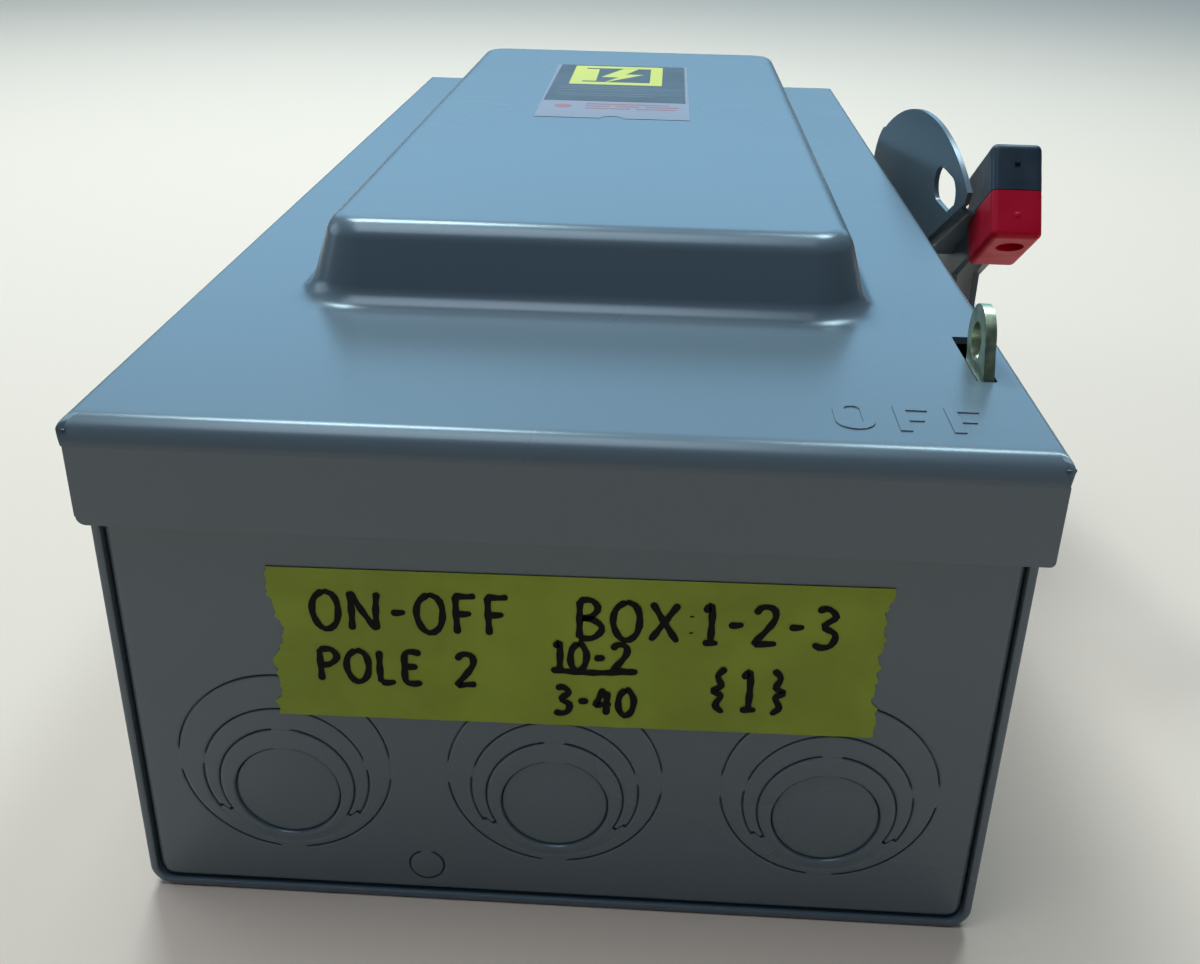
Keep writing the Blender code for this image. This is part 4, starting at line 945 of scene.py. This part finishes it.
# ---- Switch ----
# The moulded bases are screwed to the back. Copper jaws, clips and blades are blanked and folded,
# the lugs are tin plated aluminium, and a moulded crossbar turns the two blades.

moulding = coat("switch_moulding", "black_moulding", (0.022, 0.021, 0.020), 0.5,
                drift=(50.0, 0.15), wear=(100.0, 0.06), bumps=((300.0, 0.02),))
copper = coat("plain_copper", "copper", (0.62, 0.30, 0.17), 0.34, 1.0, drift=(70.0, 0.16),
              wear=(120.0, 0.09), bumps=((400.0, 0.004),))
tinned = coat("tinned_aluminium", "aluminium", (0.66, 0.67, 0.68), 0.38, 1.0,
              drift=(90.0, 0.06), wear=(120.0, 0.07), bumps=((500.0, 0.006),))
for node in ("line_base", "load_base", "neutral_insulator", "crossbar"):
    eased(node, moulding, 0.5)
for number in (1, 2):
    for node in ("blade", "line_jaw", "load_jaw", "line_fuse_clip", "load_fuse_clip"):
        eased(f"{node}_{number}", copper, 0.2)
    for node in ("line_lug", "load_lug", "neutral_lug"):
        eased(f"{node}_{number}", tinned, 0.3)
    for node in ("line_lug", "load_lug"):
        eased(f"{node}_{number}_screw", zinc_steel, 0.2)
eased("neutral_bar", copper, 0.3)
eased("ground_lug", tinned, 0.3)


def lug_screw(name, x, y, top):
    """A slotted clamping screw standing in a lug's threaded hole, whose rim is at top."""
    cutter = piece("slot", blank('Z', [corners((x - 4, x + 4), (y - 0.6, y + 0.6))],
                                 (top + 0.9, top + 4)), None, "")
    line = [(top - 6.0, 0), (top - 6.0, 3.6), (top + 2.0, 3.6), (top + 2.4, 3.2), (top + 2.4, 0)]
    piece(name, [turned('Z', (x, y), line, 32)], zinc_steel, "enclosure", cutters=[cutter])


lug_screw("neutral_lug_1_screw", -73.0, -48.0, 41.0)
lug_screw("neutral_lug_2_screw", -73.0, 28.0, 41.0)
lug_screw("ground_lug_screw", 70.0, -162.0, 19.0)


# ---- Fuses ----
# Each cartridge fuse is a red-brown fibre tube with a drawn brass ferrule on both ends. A plain
# paper band stands in for its printing.

fibre = coat("fuse_fibre", "fuse_fibre", (0.26, 0.07, 0.035), 0.55, drift=(90.0, 0.12),
             bumps=((500.0, 0.01),))
paper = coat("fuse_band_paper", "fuse_fibre", (0.62, 0.56, 0.42), 0.6, drift=(60.0, 0.06))
tube = [(-104, 0), (-104, 9.6), (-32, 9.6), (-32, 0)]
band = [(-80, 9.3), (-80, 9.72), (-56, 9.72), (-56, 9.3), (-80, 9.3)]
cap = [(0.0, 0), (0.0, 8.9), (0.35, 9.9), (1.2, 10.3), (13.0, 10.3), (13.4, 10.0), (14.2, 10.0),
       (14.6, 10.3), (15.7, 10.3), (16.0, 10.0), (16.0, 9.5), (2.0, 9.5), (2.0, 0)]
for number, x in ((1, -22.0), (2, 22.0)):
    middle = (x, 47.0)
    piece(f"fuse_tube_{number}", [turned('Y', middle, tube, 64)], fibre, "enclosure",
          [f"fuse_{number}"])
    piece(f"fuse_band_{number}", [turned('Y', middle, band, 64)], paper, "enclosure")
    for ferrule, end, inward in ((1, -106.0, 1), (2, -30.0, -1)):
        piece(f"fuse_{number}_ferrule_{ferrule}",
              [turned('Y', middle, [(end + inward * h, r) for h, r in cap], 64)], brass,
              "enclosure")


# ---- Line shield ----
# A smoky sheet of insulation is bent to a hood over the live lugs at the supply end and pressed
# over the sides of the line base.

shield_film = coat("smoky_shield", "clear_shield", (0.62, 0.64, 0.58), 0.12, drift=(20.0, 0.05))
shield_film.node_tree.nodes["Principled BSDF"].inputs["Transmission Weight"].default_value = 0.85
shield = np.vstack([[(-51.6, 20.0)], arc((-48.6, 54.4), 3.0, 180, 90, 8),
                    arc((48.6, 54.4), 3.0, 90, 0, 8), [(51.6, 20.0)]])
piece("shield_hood", [folded_sheet('Y', shield, 1.2, (78.0, 112.0))], shield_film, "enclosure",
      ["line_shield"])


# ---- Studio ----
# A plain pale floor under cool soft light from above, from behind and from the left, seen from a
# little above the taped end.

floor_mesh = bpy.data.meshes.new("floor")
floor_mesh.from_pydata([(-6, -6, -0.0002), (6, -6, -0.0002), (6, 6, -0.0002), (-6, 6, -0.0002)],
                       [], [(0, 1, 2, 3)])
floor = bpy.data.objects.new("floor", floor_mesh)
scene.collection.objects.link(floor)
floor_mesh.materials.append(coat("pale_floor", "", (0.90, 0.65, 0.50), 0.9, drift=(1.0, 0.0),
                                 wear=(1.0, 0.0)))
floor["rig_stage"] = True

world = bpy.data.worlds.new("studio")
world.use_nodes = True
background = world.node_tree.nodes["Background"].inputs
background["Color"].default_value = (0.45, 0.66, 0.90, 1.0)
background["Strength"].default_value = 0.12
scene.world = world


def softbox(name, place, aim, size, power, colour):
    """A rectangular area light at place, turned to aim, sizes and places in metres."""
    light = bpy.data.lights.new(name, 'AREA')
    light.shape = 'RECTANGLE'
    light.size, light.size_y = size
    light.energy = power
    light.color = colour
    lamp = bpy.data.objects.new(name, light)
    scene.collection.objects.link(lamp)
    lamp.location = place
    lamp.rotation_mode = 'QUATERNION'
    lamp.rotation_quaternion = (Vector(place) - Vector(aim)).to_track_quat('Z', 'Y')


softbox("window_left", (-0.42, 0.85, 1.35), (0, 0, 0.05), (0.5, 0.3), 14.0, (0.62, 0.88, 1.0))
softbox("window_right", (0.45, 0.80, 1.40), (0, 0, 0.05), (0.35, 0.3), 9.0, (0.62, 0.88, 1.0))
softbox("sky", (0.0, 2.6, 1.1), (0, 0.1, 0), (3.6, 1.2), 21.0, (0.34, 0.68, 1.0))
softbox("ceiling", (-0.3, -0.1, 1.9), (0, -0.1, 0), (1.2, 1.0), 20.0, (0.66, 0.84, 1.0))
softbox("left_side", (-1.9, 0.5, 0.9), (0, 0, 0.08), (1.2, 0.9), 7.0, (0.6, 0.82, 1.0))

# The camera's own right, up and back directions come from its turn about Z, its tilt below the
# horizon and its roll about the line of sight.
turn, tilt, roll = radians(2.594), radians(26.0), radians(-1.243)
optics = bpy.data.cameras.new("camera")
optics.sensor_width, optics.lens = 36.0, 38.10
optics.shift_x, optics.shift_y = 0.0009, -0.0098
optics.clip_start, optics.clip_end = 0.02, 30.0
camera = bpy.data.objects.new("camera", optics)
scene.collection.objects.link(camera)
facing = (Matrix.Rotation(turn, 3, 'Z') @ Matrix.Rotation(-tilt, 3, 'X')
          @ Matrix.Rotation(roll, 3, 'Y'))
right, forward, up = facing.col[0], facing.col[1], facing.col[2]
camera.matrix_world = Matrix.Translation((0.01678, -0.40202, 0.20670)) @ Matrix(
    (right, up, -forward)).transposed().to_4x4()
scene.camera = camera
scene.view_settings.view_transform = 'Standard'

low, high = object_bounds()
